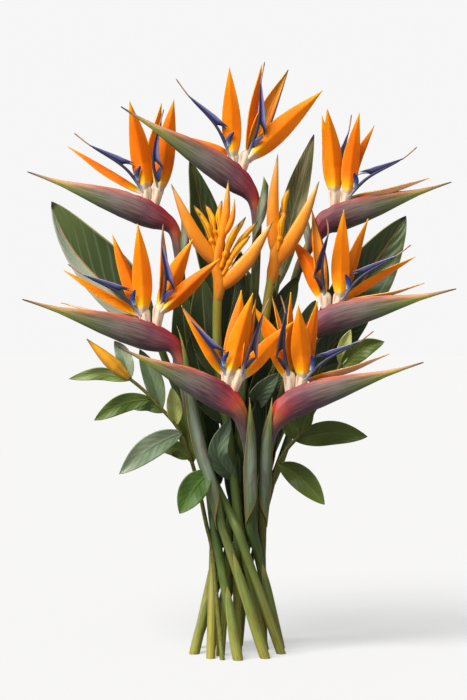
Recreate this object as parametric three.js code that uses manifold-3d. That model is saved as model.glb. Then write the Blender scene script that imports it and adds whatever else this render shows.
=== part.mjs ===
// A standing spiral bouquet of bird of paradise flowers, two heliconias and their leaves.
// Millimetres, +Z up. The viewer stands at -Y, and the cut stem ends stand on Z = 0.
import * as THREE from "three";
import { mergeVertices } from "three/addons/utils/BufferGeometryUtils.js";
import Module from "manifold-3d";

const wasm = await Module();
wasm.setup();

// Driving dimensions of the bundle of stems.
const STEM_RADIUS = 5;
const SHEATHED_RADIUS = 6.4;
const SPRAY_STEM_RADIUS = 2.8;
const SPRAY_SIDES = 5;
const NECK_RADIUS = 8;
const WAIST_HEIGHT = 118;
const INNER_RING = { waist: 10.15, lean: 0.25 };
const OUTER_RING = { waist: 26, lean: 0.36 };
const SPRAY_RING = { waist: 24, lean: 0.36 };
const LEFT_SPRAY_RING = { waist: 30, lean: 0.36 };
const MIDDLE = { waist: 0, lean: 0 };
const TIE = { inner: 14.6, outer: 21.6, height: 9 };

// Driving dimensions of one bird of paradise flower.
const SPATHE_DEPTH = 32;
const SPATHE_WIDTH = 20;
const COLUMN_RADIUS = 5.2;
const COLUMN_SIDES = 6;
const SEPAL_THICK = 2.4;
const SHAFT_RADIUS = 2;

// A loose part keeps this gap to the pocket that it sits in.
const SEAT_GAP = 0.3;

const UP = new THREE.Vector3(0, 0, 1);
const TO_VIEWER = new THREE.Vector3(0, -1, 0);

const LOOKS = {
  stem: { color: 0x6e8a4a, roughness: 0.55, metalness: 0 },
  sepal: { color: 0xf57c00, roughness: 0.5, metalness: 0 },
  petal: { color: 0x3a4494, roughness: 0.5, metalness: 0 },
  bract: { color: 0xf2921d, roughness: 0.5, metalness: 0 },
  leaf: { color: 0x35521f, roughness: 0.5, metalness: 0 },
  spray: { color: 0x557538, roughness: 0.6, metalness: 0 },
  twine: { color: 0x5a6b3a, roughness: 0.9, metalness: 0 },
};

// Closed solids from three.js geometry, and back again for a mesh.
function solid(shape) {
  shape.deleteAttribute("normal");
  shape.deleteAttribute("uv");
  const merged = mergeVertices(shape, 1e-4);
  const vertProperties = new Float32Array(merged.getAttribute("position").array);
  const triVerts = new Uint32Array(merged.getIndex().array);
  return new wasm.Manifold(new wasm.Mesh({ numProp: 3, vertProperties, triVerts }));
}

function joined(solids) {
  return solids.reduce((whole, piece) => whole.add(piece));
}

function node(name, body, look) {
  const { vertProperties, triVerts } = body.getMesh();
  const shape = new THREE.BufferGeometry();
  shape.setAttribute("position", new THREE.BufferAttribute(vertProperties, 3));
  shape.setIndex(new THREE.BufferAttribute(triVerts, 1));
  shape.computeVertexNormals();
  const mesh = new THREE.Mesh(shape, new THREE.MeshStandardMaterial(LOOKS[look]));
  mesh.name = name;
  return mesh;
}

// A straight closed cylinder laid along a smooth path. The section turns the cylinder's own
// two cross directions into millimetres across the path and out towards the facing side.
function laid(path, sides, marks, facing, section) {
  const points = path.map((point) => new THREE.Vector3(...point));
  const curve = new THREE.CatmullRomCurve3(points, false, "centripetal");
  const shape = new THREE.CylinderGeometry(1, 1, 1, sides, marks.length - 1);
  const spots = shape.getAttribute("position");
  for (let i = 0; i < spots.count; i++) {
    const t = marks[Math.round((spots.getY(i) + 0.5) * (marks.length - 1))];
    const along = curve.getTangentAt(t);
    const out = facing.clone().addScaledVector(along, -facing.dot(along)).normalize();
    const across = along.clone().cross(out);
    const [sideways, outwards] = section(t, spots.getX(i), spots.getZ(i));
    const spot = curve.getPointAt(t).addScaledVector(across, sideways).addScaledVector(out, outwards);
    spots.setXYZ(i, spot.x, spot.y, spot.z);
  }
  return solid(shape);
}

function evenMarks(count) {
  return Array.from({ length: count + 1 }, (_, i) => i / count);
}

// A round stalk whose radius may swell along its path.
function stalk(path, sides, marks, radiusAt) {
  return laid(path, sides, marks, TO_VIEWER, (t, u, v) => [u * radiusAt(t), v * radiusAt(t)]);
}

// A folded blade: a thin six-sided section, wide in the middle and pointed at the tip.
const BLADE_MARKS = [0, 0.2, 0.5, 0.82, 1];
const BLADE_SIDES = 6;
const BLADE_EDGE = Math.sin(Math.PI / 3);

function blade(path, options) {
  const { width, thick = SEPAL_THICK, fold = 0.35, base = 0.25, rise = 0.8, fall = 1, grow = 0 } = options;
  const { facing = TO_VIEWER, turn = 0, marks = BLADE_MARKS } = options;
  const peakAt = rise / (rise + fall);
  const peak = peakAt ** rise * (1 - peakAt) ** fall;
  const spine = new THREE.Vector3(...path.at(-1)).sub(new THREE.Vector3(...path[0])).normalize();
  const faced = facing.clone().applyAxisAngle(spine, THREE.MathUtils.degToRad(turn));
  return laid(path, BLADE_SIDES, marks, faced, (t, u, v) => {
    const outline = Math.max((t ** rise * (1 - t) ** fall) / peak, base * (1 - t), 0.03);
    const sideways = (u / BLADE_EDGE) * (0.5 * width * outline + grow);
    const skin = v * (0.5 * thick * Math.max(1 - 0.6 * t, 0.4) + grow);
    return [sideways, fold * Math.abs(sideways) + skin];
  });
}

// Path from a base to a tip, bowed by some millimetres towards a direction.
function bowed(base, tip, bow, towards = UP) {
  const middle = base.map((value, axis) => (value + tip[axis]) / 2 + bow * towards.getComponent(axis));
  return [base, middle, tip];
}

function plus(a, b) {
  return a.map((value, axis) => value + b[axis]);
}

function minus(a, b) {
  return a.map((value, axis) => value - b[axis]);
}

// The stems form a spiral: each is a straight line that leans sideways past the middle of the
// bundle, and is closest to it at the waist.
function inSpiral(place, z) {
  const angle = THREE.MathUtils.degToRad(place.degrees);
  const [east, north] = [Math.cos(angle), Math.sin(angle)];
  const { waist, lean } = place.ring;
  const shift = lean * (z - WAIST_HEIGHT);
  return [waist * east + shift * north, waist * north - shift * east, z];
}

const BELOW_FLOOR = -14;
const SPIRAL_HEIGHTS = [BELOW_FLOOR, 52, WAIST_HEIGHT];
const ABOVE_WAIST = 136;
const STEM_SIDES = 6;
const STEM_MARKS = [0, 0.08, 0.17, 0.26, 0.37, 0.49, 0.61, 0.73, 0.84, 0.93, 1];

function stemPath(place, upper) {
  return [...SPIRAL_HEIGHTS.map((z) => inSpiral(place, z)), ...upper];
}

function straightPath(place, upper) {
  return stemPath(place, [inSpiral(place, ABOVE_WAIST), ...upper]);
}

function floorBox() {
  const depth = 60;
  const shape = new THREE.BoxGeometry(400, 400, depth);
  return solid(shape.translate(0, 0, -depth / 2));
}

// One bird of paradise flower: its stem ends in the beak-shaped spathe, whose slit holds the
// florets. Each floret is a pale column with orange sepals and one blue arrow of joined petals.
const SPATHE_OUTLINE = [[0, 0.34], [0.05, 0.6], [0.13, 0.86], [0.24, 1], [0.36, 0.93], [0.5, 0.74],
  [0.64, 0.46], [0.77, 0.22], [0.89, 0.1], [1, 0.035]];
const SPATHE_SIDES = 8;
const ARROW_OUTLINE = [[0, 1, 1], [0.17, 0.9, 0.9], [0.29, 0.9, 0.9], [0.33, 2.6, 0.9], [0.45, 2.2, 0.9],
  [0.62, 1.3, 0.8], [0.78, 0.6, 0.6], [1, 0.45, 0.45]];

function outlineAt(outline, t, column = 1) {
  const mark = outline.find((row) => Math.abs(row[0] - t) < 1e-6);
  return mark[column];
}

function spathe(flower) {
  const forward = new THREE.Vector3(...minus(flower.tip, flower.throat)).normalize();
  const rear = new THREE.Vector3(...flower.throat).addScaledVector(forward, -flower.rear);
  rear.z -= 2;
  const marks = SPATHE_OUTLINE.map((row) => row[0]);
  const path = [rear.toArray(), flower.throat, flower.tip];
  return laid(path, SPATHE_SIDES, marks, UP, (t, u, v) => {
    const size = outlineAt(SPATHE_OUTLINE, t);
    return [(u * size * SPATHE_WIDTH) / 2, (v * size * SPATHE_DEPTH) / 2];
  });
}

// The stem is thicker where its leaf sheaths wrap it, and thickest at the neck.
const SHEATHED_FROM = 0.55;
const NECK_FROM = 0.96;

function flowerStem(flower, grow = 0) {
  const { upperRadius = STEM_RADIUS } = flower;
  const path = straightPath(flower.place, flower.stem);
  return stalk(path, STEM_SIDES, STEM_MARKS, (t) => {
    const thick = t > SHEATHED_FROM ? upperRadius : STEM_RADIUS;
    return grow + (t > NECK_FROM ? NECK_RADIUS : thick);
  });
}

function sheath(path) {
  return blade(path, { width: 15, thick: 3, fold: -0.5, base: 0.9, rise: 0.25, fall: 0.8, turn: 20 });
}

function column(flower, floret, grow) {
  const top = plus(flower.throat, floret.top);
  const root = plus(flower.throat, floret.root);
  return stalk([root, top], COLUMN_SIDES, [0, 1], (t) => COLUMN_RADIUS * (1 - 0.18 * t) + grow);
}

function sepals(flower, floret, grow) {
  const top = plus(flower.throat, floret.top);
  return floret.sepals.map(([dx, dy, dz, width, turn = 0]) => {
    const base = plus(top, [0, 0, -4]);
    return blade(bowed(base, plus(top, [dx, dy, dz]), 4), { width, turn, grow, base: 0.36 });
  });
}

function bloom(flower, grow = 0) {
  const florets = flower.florets.map((floret) => {
    return joined([column(flower, floret, grow), ...sepals(flower, floret, grow)]);
  });
  return joined(florets);
}

function arrow(flower, floret, grow = 0) {
  const top = plus(flower.throat, floret.top);
  const path = floret.arrow.map((point) => plus(top, point));
  const marks = ARROW_OUTLINE.map((row) => row[0]);
  const upperSide = flower.tip[0] < flower.throat[0] ? 1 : -1;
  return laid(path, BLADE_SIDES, marks, TO_VIEWER, (t, u, v) => {
    const across = outlineAt(ARROW_OUTLINE, t, 2) * SHAFT_RADIUS;
    const high = outlineAt(ARROW_OUTLINE, t, 1) * SHAFT_RADIUS;
    const lift = upperSide * Math.max(high - SHAFT_RADIUS, 0);
    return [lift + u * (high + grow), v * (across + grow)];
  });
}

const FLOWERS = [
  {
    name: "top_left", throat: [-101, 38, 484], tip: [-238, 52, 533], rear: 34,
    place: { ring: OUTER_RING, degrees: 212 },
    stem: [[-34, 2, 208], [-45, 15, 287], [-54, 25, 342], [-62, 34, 398], [-67, 37, 445], [-73, 38, 468]],
    sheath: [[-58, 36, 400], [-59, 36, 440], [-61, 36, 466], [-64, 36, 485]],
    florets: [
      {
        root: [-1, 0, 0], top: [-2, 0, 34],
        sepals: [[-18, -8, 92, 23], [17, 8, 92, 20, 45], [-89, 8, 43, 16, 50]],
        arrow: [[-2, -1, -10], [-22, -6, 16], [-62, -7, 42], [-80, -7, 56]],
      },
      {
        root: [6, 0, 0], top: [13, 0, 34],
        sepals: [[17, -8, 94, 23]],
        arrow: [[0, 0, -10], [-6, -12, 27], [2, -17, 66], [6, -17, 81]],
      },
    ],
  },
  {
    name: "top_middle", throat: [-5, 18, 523], tip: [-129, 8, 600], rear: 32,
    place: { ring: MIDDLE, degrees: 0 },
    stem: [[1, 3, 209], [4, 5, 276], [11, 12, 331], [18, 15, 386], [21, 17, 442], [21, 18, 480],
      [16, 18, 502]],
    sheath: [[20, 15, 440], [26, 15, 474], [28, 15, 505], [29, 15, 524]],
    florets: [
      {
        root: [0, 0, 0], top: [0, 0, 29],
        sepals: [[-4, -6, 93, 21], [-53, 0, 19, 10, 40]],
        arrow: [[-1, -1, -10], [-18, -6, 26], [-49, -8, 60], [-63, -8, 79]],
      },
      {
        root: [7, 0, -2], top: [16, 0, 30],
        sepals: [[16, 6, 97, 18, 55], [46, 14, 92, 18, 45], [83, -8, 65, 19]],
        arrow: [[-1, 0, -10], [12, -8, 27], [15, -12, 74], [19, -12, 96]],
      },
    ],
  },
  {
    name: "top_right", throat: [110, 30, 478], tip: [241, 40, 520], rear: 20,
    place: { ring: OUTER_RING, degrees: 140 },
    stem: [[7, 32, 200], [24, 34, 255], [39, 32, 305], [50, 31, 342], [59, 32, 387], [70, 31, 426],
      [84, 30, 452], [98, 30, 472]],
    sheath: [[68, 30, 420], [77, 29, 446], [79, 29, 466], [78, 29, 482]],
    florets: [
      {
        root: [5, 0, 1], top: [13, 0, 33],
        sepals: [[13, -8, 85, 19], [31, 10, 73, 18, 45], [92, 4, 13, 16, 40]],
        arrow: [[0, -1, -10], [21, -6, 11], [61, -9, 33], [77, -9, 46]],
      },
      {
        root: [-2, 0, 1], top: [-1, 0, 36],
        sepals: [[-14, 12, 81, 18, 30], [-9, -7, 86, 23]],
        arrow: [[0, 0, -10], [8, 13, 29], [17, 17, 65], [20, 17, 83]],
      },
    ],
  },
  {
    name: "middle_left", throat: [-94, -35, 345], tip: [-230, -50, 385], rear: 31,
    place: { ring: OUTER_RING, degrees: 248 }, upperRadius: SHEATHED_RADIUS,
    stem: [[-28, -31, 185], [-41, -35, 228], [-53, -36, 277], [-59, -36, 304], [-63, -35, 322],
      [-70, -35, 336]],
    sheath: [[-50, -40, 270], [-55, -39, 300], [-58, -38, 325], [-62, -37, 345], [-66, -37, 357]],
    florets: [
      {
        root: [-2, 0, 0], top: [-8, 0, 33],
        sepals: [[-34, 10, 78, 18, 30], [-5, -10, 88, 21], [-86, 6, 39, 14, 40]],
        arrow: [[-1, -1, -10], [-24, -6, 13], [-62, -9, 33], [-80, -9, 45]],
      },
      {
        root: [5, 0, 0], top: [10, 0, 36],
        sepals: [[3, 10, 85, 16, 55], [36, -8, 69, 21], [65, -22, 47, 17]],
        arrow: [[0, 0, -10], [7, -11, 24], [3, -18, 64], [5, -18, 85]],
      },
    ],
  },
  {
    name: "middle_right", throat: [101, -15, 364], tip: [236, -32, 397], rear: 25,
    place: { ring: INNER_RING, degrees: 18 },
    stem: [[24, -3, 180], [39, -7, 240], [49, -9, 280], [57, -12, 309], [67, -15, 335], [86, -15, 356]],
    sheath: [[52, -14, 290], [60, -16, 320], [66, -17, 342], [70, -17, 358]],
    florets: [
      {
        root: [4, 0, 1], top: [11, 0, 31],
        sepals: [[3, -12, 88, 20], [31, 8, 80, 18, 40], [82, 4, 38, 14, 40]],
        arrow: [[0, -1, -10], [22, -6, 15], [60, -10, 38], [76, -10, 50]],
      },
      {
        root: [-3, 0, 0], top: [-6, 0, 31],
        sepals: [[-36, 20, 60, 20], [-13, 14, 90, 18, 40]],
        arrow: [[0, 0, -10], [-3, -9, 29], [3, -16, 64], [1, -16, 79]],
      },
    ],
  },
  {
    name: "lower_left", throat: [-17, -62, 281], tip: [-125, -78, 334], rear: 26,
    place: { ring: OUTER_RING, degrees: 320 }, upperRadius: SHEATHED_RADIUS,
    stem: [[15, -36, 175], [12, -51, 226], [6, -59, 250], [0, -62, 266]],
    sheath: [[14, -42, 178], [13, -54, 214], [12, -63, 245], [12, -65, 264], [12, -66, 281]],
    florets: [
      {
        root: [3, 0, -3], top: [7, 0, 31],
        sepals: [[14, 14, 83, 21], [26, -8, 79, 21], [-50, 4, 66, 18, 40]],
        arrow: [[-1, -1, -10], [-14, -6, 15], [-37, -9, 47], [-49, -9, 65]],
      },
      {
        root: [10, 0, 0], top: [20, 0, 30],
        sepals: [[57, 0, 51, 18], [17, 16, 75, 14, 45]],
        arrow: [[0, 0, -10], [10, -12, 21], [26, -20, 65], [31, -20, 76]],
      },
    ],
  },
  {
    name: "lower_right", throat: [58, -55, 273], tip: [196, -70, 318], rear: 20,
    place: { ring: OUTER_RING, degrees: 356 }, upperRadius: SHEATHED_RADIUS,
    stem: [[28, -27, 184], [31, -43, 226], [37, -51, 246], [46, -55, 262]],
    sheath: [[29, -30, 182], [31, -43, 214], [34, -55, 245], [36, -60, 265], [37, -60, 281]],
    florets: [
      {
        root: [5, 0, 1], top: [12, 0, 36],
        sepals: [[-6, -12, 70, 21], [15, 6, 75, 18, 30], [92, 4, 18, 14, 40]],
        arrow: [[0, -1, -10], [22, -6, 10], [59, -10, 31], [74, -10, 42]],
      },
      {
        root: [-2, 0, 0], top: [-3, 0, 36],
        sepals: [[2, 12, 84, 14, 50], [-38, 14, 69, 20], [-18, 22, 81, 12, 50]],
        arrow: [[0, 0, -10], [-6, -12, 27], [-5, -21, 61], [-10, -22, 80]],
      },
    ],
  },
];

// Heliconia: a green stalk with its leaves, and an orange head of boat-shaped bracts and florets.
const HELICONIAS = [
  {
    name: "left", place: { ring: INNER_RING, degrees: 306 },
    stalk: [[-4, -13, 190], [-12, -17, 255], [-19, -20, 298], [-22, -22, 340], [-22, -21, 380],
      [-20, -20, 402]],
    axis: [[-21, -20, 392], [-19, -20, 410], [-23, -20, 424], [-21, -20, 440], [-18, -20, 451],
      [-15, -20, 466]],
    bracts: [
      [[-21, -20, 398], [8, -24, 420], [38, -26, 470], 22],
      [[-22, -20, 424], [-45, -24, 456], [-72, -26, 511], 20],
      [[-19, -20, 446], [-13, -20, 483], [-10, -20, 516], 13],
      [[-15, -20, 456], [-7, -24, 472], [-3, -26, 495], 9],
    ],
    florets: [
      [[-24, -20, 440], [-48, -12, 489]], [[-22, -20, 445], [-35, -12, 490]],
      [[-20, -20, 445], [-17, -14, 494]],
      [[-19, -20, 418], [9, -16, 476]], [[-18, -20, 415], [22, -18, 471]],
    ],
    leaves: [
      [[-21, -20, 300], [-34, -4, 345], [-40, 6, 412], 34],
      [[-19, -18, 310], [-8, 0, 370], [4, 6, 440], 30],
      [[-12, -17, 250], [-38, -12, 298], [-50, -4, 350], 34],
      [[-4, -13, 190], [-21, -34, 220], [-8, -40, 257], 22],
    ],
  },
  {
    name: "right", place: { ring: INNER_RING, degrees: 162 },
    stalk: [[-2, 16, 190], [12, 18, 254], [22, 10, 298], [28, 0, 342], [33, -6, 386], [38, -9, 414]],
    axis: [[35, -8, 402], [39, -8, 418], [41, -8, 430], [42, -8, 440], [44, -8, 457], [50, -8, 473]],
    bracts: [
      [[40, -8, 424], [65, -12, 464], [89, -16, 515], 21],
      [[41, -8, 436], [40, -10, 490], [44, -10, 545], 18],
    ],
    florets: [[[48, -8, 466], [57, -8, 508]]],
    leaves: [
      [[27, 2, 335], [48, 6, 375], [66, 12, 412], 26],
      [[16, 15, 268], [36, 6, 305], [46, 8, 360], 34],
      [[16, 15, 268], [29, -16, 288], [45, -28, 306], 22],
    ],
  },
];

const BRACT_THICK = 7;
const FLORET_WIDTH = 6;
const HEAD_RADIUS = 4.2;

function heliconiaHead(plant, grow = 0) {
  const axis = stalk(plant.axis, STEM_SIDES, evenMarks(4), (t) => HEAD_RADIUS * (1 - 0.25 * t) + grow);
  const bracts = plant.bracts.map(([base, middle, tip, width]) => {
    const shape = { width, thick: BRACT_THICK, fold: 0.1, base: 0.3, rise: 0.45, fall: 1.1, grow };
    return blade([base, middle, tip], shape);
  });
  const florets = plant.florets.map(([base, tip]) => {
    const shape = { width: FLORET_WIDTH, thick: 4, fold: 0, base: 0.5, rise: 0.3, fall: 0.7, grow };
    return blade(bowed(base, tip, 2), { ...shape, marks: [0, 0.3, 0.75, 1] });
  });
  return joined([axis, ...bracts, ...florets]);
}

function heliconiaStalk(plant, grow = 0) {
  return stalk(straightPath(plant.place, plant.stalk), STEM_SIDES, STEM_MARKS, () => STEM_RADIUS + grow);
}

// Large leaves: a blade folded along its midrib, on a stalk of its own.
const LARGE_LEAVES = [
  {
    name: "left", place: { ring: OUTER_RING, degrees: 284 }, width: 58, turn: -10, fold: 0.45,
    stalk: [[-6, -20, 148], [-26, -13, 188], [-48, -5, 240], [-72, 1, 300], [-90, 8, 345], [-104, 10, 366]],
    blade: [[-96, 9, 354], [-129, 14, 401], [-172, 22, 449], [-208, 30, 497]],
  },
  {
    name: "right", place: { ring: OUTER_RING, degrees: 104 }, width: 60, turn: 10, fold: 0.45,
    stalk: [[24, 26, 187], [46, 24, 235], [68, 22, 290], [88, 22, 335], [100, 22, 352]],
    blade: [[92, 22, 341], [125, 23, 387], [164, 28, 444], [189, 34, 481]],
  },
  {
    name: "back_left", place: { ring: OUTER_RING, degrees: 176 }, width: 46, turn: 25, fold: 0.4,
    stalk: [[-26, 22, 221], [-25, 32, 300], [-26, 39, 370], [-27, 41, 400]],
    blade: [[-24, 40, 388], [-33, 46, 444], [-43, 50, 501], [-54, 52, 547]],
  },
  {
    name: "back_right", place: { ring: INNER_RING, degrees: 90 }, width: 36, turn: -20, fold: 0.4,
    stalk: [[12, 18, 200], [22, 26, 260], [27, 32, 320], [40, 38, 387], [46, 42, 415]],
    blade: [[42, 40, 400], [57, 48, 461], [73, 55, 524], [87, 58, 576]],
  },
  {
    name: "low_right", place: { ring: OUTER_RING, degrees: 68 }, width: 40, turn: 15, fold: 0.4,
    stalk: [[44, 14, 198], [60, 8, 243], [76, 4, 281], [88, 3, 303]],
    blade: [[82, 4, 293], [98, 8, 324], [118, 9, 348], [147, 9, 370]],
  },
];

const LEAF_MARKS = [0, 0.1, 0.25, 0.45, 0.65, 0.83, 0.94, 1];

function largeLeaf(leaf, grow = 0) {
  const radiusAt = (t) => (STEM_RADIUS - 1.6 * Math.max(0, t - 0.4)) + grow;
  const stem = stalk(straightPath(leaf.place, leaf.stalk), STEM_SIDES, STEM_MARKS, radiusAt);
  const shape = { width: leaf.width, thick: 3.4, fold: leaf.fold, turn: leaf.turn, marks: LEAF_MARKS };
  const face = blade(leaf.blade, { ...shape, base: 0.08, rise: 0.55, fall: 0.85, grow });
  return stem.add(face);
}

// Leafy sprays: a thin woody stem with short broad leaves, and an orange bud on the left one.
const SPRAYS = [
  {
    name: "left", place: { ring: LEFT_SPRAY_RING, degrees: 197 },
    stem: [[-34, -10, 140], [-42, -19, 180], [-49, -26, 208], [-57, -33, 232], [-67, -37, 251],
      [-83, -39, 269], [-100, -40, 287], [-122, -40, 305]],
    leaves: [
      [[-114, -40, 299], [-181, -44, 300], 14], [[-115, -40, 300], [-133, -30, 341], 18],
      [[-93, -40, 279], [-153, -52, 256], 20], [[-81, -39, 268], [-106, -28, 332], 17],
      [[-66, -37, 250], [-71, -50, 291], 17], [[-60, -36, 243], [-126, -56, 199], 26],
      [[-52, -29, 219], [-82, -48, 226], 17], [[-42, -20, 184], [-62, -48, 156], 26],
      [[-49, -26, 208], [-60, -12, 272], 22],
    ],
  },
  {
    name: "right", place: { ring: SPRAY_RING, degrees: 32 },
    stem: [[33, 1, 160], [41, -9, 192], [46, -13, 210], [54, -14, 223], [66, -16, 237], [84, -18, 266],
      [106, -20, 304], [115, -20, 320]],
    leaves: [
      [[62, -13, 233], [141, -24, 237], 27], [[45, -13, 207], [94, -30, 164], 26],
      [[68, -16, 240], [84, -24, 268], 17], [[112, -20, 312], [159, -26, 340], 22],
      [[112, -20, 314], [123, -24, 353], 15], [[63, -15, 234], [47, -24, 257], 18],
    ],
  },
];

const BUD = { base: [-116, -40, 300], middle: [-139, -41, 320], tip: [-162, -42, 343], width: 15 };

function sprayStem(plant, grow = 0) {
  return stalk(stemPath(plant.place, plant.stem), SPRAY_SIDES, evenMarks(13), () => SPRAY_STEM_RADIUS + grow);
}

function spray(plant) {
  const leaves = plant.leaves.map(([base, tip, width]) => {
    return blade(bowed(base, tip, 6), { width, thick: 2.4, fold: 0.3, base: 0.12, rise: 0.75, fall: 0.85 });
  });
  return joined([sprayStem(plant), ...leaves]);
}

function bud(grow = 0) {
  const shape = { width: BUD.width, thick: 13, fold: 0, base: 0.3, rise: 0.7, fall: 0.9, grow };
  return blade([BUD.base, BUD.middle, BUD.tip], shape);
}

// Twine wound round the inner stems; the outer stems lean on it and hide it.
function tieRing() {
  const half = TIE.height / 2;
  const { inner, outer } = TIE;
  const corners = [[inner, -half], [outer, -half], [outer, half], [inner, half], [inner, -half]];
  const profile = corners.map(([x, y]) => new THREE.Vector2(x, y));
  const shape = new THREE.LatheGeometry(profile, 24);
  return solid(shape.rotateX(Math.PI / 2).translate(0, 0, WAIST_HEIGHT));
}

const bouquet = new THREE.Group();
const floor = floorBox();
let tie = tieRing();

for (const flower of FLOWERS) {
  const green = joined([flowerStem(flower), spathe(flower), sheath(flower.sheath)]);
  bouquet.add(node(`${flower.name}_stem`, green.subtract(bloom(flower, SEAT_GAP)).subtract(floor), "stem"));
  const cutArrows = joined(flower.florets.map((floret) => arrow(flower, floret, SEAT_GAP)));
  bouquet.add(node(`${flower.name}_sepals`, bloom(flower).subtract(cutArrows), "sepal"));
  flower.florets.forEach((floret, i) => {
    bouquet.add(node(`${flower.name}_arrow_${i + 1}`, arrow(flower, floret), "petal"));
  });
  tie = tie.subtract(flowerStem(flower, SEAT_GAP));
}

for (const plant of HELICONIAS) {
  const leaves = plant.leaves.map(([base, middle, tip, width]) => {
    return blade([base, middle, tip], { width, thick: 2.6, base: 0.15, rise: 0.6, fall: 0.6 });
  });
  const green = joined([heliconiaStalk(plant), ...leaves]).subtract(heliconiaHead(plant, SEAT_GAP));
  bouquet.add(node(`heliconia_${plant.name}_stalk`, green.subtract(floor), "stem"));
  bouquet.add(node(`heliconia_${plant.name}_head`, heliconiaHead(plant), "bract"));
  tie = tie.subtract(heliconiaStalk(plant, SEAT_GAP));
}

for (const leaf of LARGE_LEAVES) {
  bouquet.add(node(`leaf_${leaf.name}`, largeLeaf(leaf).subtract(floor), "leaf"));
  tie = tie.subtract(largeLeaf(leaf, SEAT_GAP));
}

for (const plant of SPRAYS) {
  bouquet.add(node(`spray_${plant.name}`, spray(plant).subtract(bud(SEAT_GAP)).subtract(floor), "spray"));
  tie = tie.subtract(sprayStem(plant, SEAT_GAP));
}
bouquet.add(node("spray_left_bud", bud(), "bract"));
bouquet.add(node("tie", tie, "twine"));

// The origin lies under the middle of the whole bouquet.
const extent = new THREE.Box3().setFromObject(bouquet);
bouquet.position.set(-(extent.min.x + extent.max.x) / 2, -(extent.min.y + extent.max.y) / 2, 0);

export default bouquet;
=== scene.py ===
import math
import random

import bpy
import numpy as np
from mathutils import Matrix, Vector


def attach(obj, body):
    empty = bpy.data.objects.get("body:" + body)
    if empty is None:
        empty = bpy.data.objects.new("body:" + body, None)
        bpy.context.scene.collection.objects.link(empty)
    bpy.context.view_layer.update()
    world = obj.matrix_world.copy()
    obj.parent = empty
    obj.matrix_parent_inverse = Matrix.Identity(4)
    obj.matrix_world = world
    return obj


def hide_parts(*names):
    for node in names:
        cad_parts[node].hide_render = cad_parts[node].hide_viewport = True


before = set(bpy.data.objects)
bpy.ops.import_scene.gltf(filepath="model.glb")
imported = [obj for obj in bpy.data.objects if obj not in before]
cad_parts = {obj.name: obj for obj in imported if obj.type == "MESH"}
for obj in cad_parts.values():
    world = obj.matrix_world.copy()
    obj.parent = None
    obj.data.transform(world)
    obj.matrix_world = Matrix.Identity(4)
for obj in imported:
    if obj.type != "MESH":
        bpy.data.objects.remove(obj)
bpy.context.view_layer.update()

# Studio: a white floor under a soft sky. A broad lamp high on the left and a smaller one at the side lay a
# faint shadow to the right of the feet. The camera stands level with the middle of the bouquet, at a
# distance that gives the photograph's slight perspective.

# All points below are in millimetres in the bouquet's own drawing; TO_FRAME moves its foot to
# the middle of the part.
MM = 0.001
TO_FRAME = np.array([-1.4916, 12.1309, 0.0])
CAMERA_AT = np.array([-4.4, -1700.0, 331.0])
PICTURE_HEIGHT = 770.0
SENSOR = 36.0
SKY_STRENGTH = 0.28
PAPER_GREY = 0.31
PAPER_GLOW = 0.465
LAMPS = (("broad_lamp", (0.36, 0.5, -0.86), 3.3, 30), ("side_lamp", (0.72, 0.36, -0.62), 2.0, 14))

scene = bpy.context.scene
scene.view_settings.view_transform = "Standard"

camera_data = bpy.data.cameras.new("camera")
camera_data.sensor_fit = "VERTICAL"
camera_data.sensor_height = SENSOR
camera_data.lens = SENSOR * -CAMERA_AT[1] / PICTURE_HEIGHT
camera_data.clip_end = 300
camera = bpy.data.objects.new("camera", camera_data)
camera.location = (CAMERA_AT + TO_FRAME) * MM
camera.rotation_euler = (math.radians(90), 0, 0)
scene.collection.objects.link(camera)
scene.camera = camera


def linear(hex_colour):
    """An sRGB hex value as linear red, green, blue and full alpha."""
    parts = [int(hex_colour[i:i + 2], 16) / 255 for i in (1, 3, 5)]
    return [c / 12.92 if c <= 0.04045 else ((c + 0.055) / 1.055) ** 2.4 for c in parts] + [1.0]


def add(tree, kind, inputs=(), stops=(), **settings):
    """Adds a shader node with its settings, its values or links, and colour stops from 0 to 1."""
    made = tree.nodes.new("ShaderNode" + kind)
    for name, value in settings.items():
        setattr(made, name, value)
    for place, colour in dict(stops).items():
        ramp = made.color_ramp.elements
        stop = ramp[0] if place == 0 else ramp[-1] if place == 1 else ramp.new(place)
        stop.color = linear(colour)
    for name, value in dict(inputs).items():
        if isinstance(value, bpy.types.Node):
            value = next(output for output in value.outputs if output.enabled)
        if isinstance(value, bpy.types.NodeSocket):
            tree.links.new(value, made.inputs[name])
        else:
            made.inputs[name].default_value = value
    return made


sky = bpy.data.worlds.new("studio_sky")
sky.use_nodes = True
scene.world = sky
sky.node_tree.nodes.clear()
seen = add(sky.node_tree, "Background", {"Color": (0.925, 0.925, 0.925, 1), "Strength": 1.0})
lighting = add(sky.node_tree, "Background", {"Color": (0.97, 0.985, 1.0, 1), "Strength": SKY_STRENGTH})
ray = add(sky.node_tree, "LightPath")
both = add(sky.node_tree, "MixShader", {0: ray.outputs["Is Camera Ray"], 1: lighting, 2: seen})
add(sky.node_tree, "OutputWorld", {"Surface": both})

for name, way, energy, spread in LAMPS:
    lamp_data = bpy.data.lights.new(name, "SUN")
    lamp_data.energy = energy
    lamp_data.angle = math.radians(spread)
    lamp_data.color = (1.0, 0.985, 0.96)
    lamp = bpy.data.objects.new(name, lamp_data)
    lamp.rotation_euler = Vector(way).to_track_quat("-Z", "Y").to_euler()
    scene.collection.objects.link(lamp)

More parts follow.
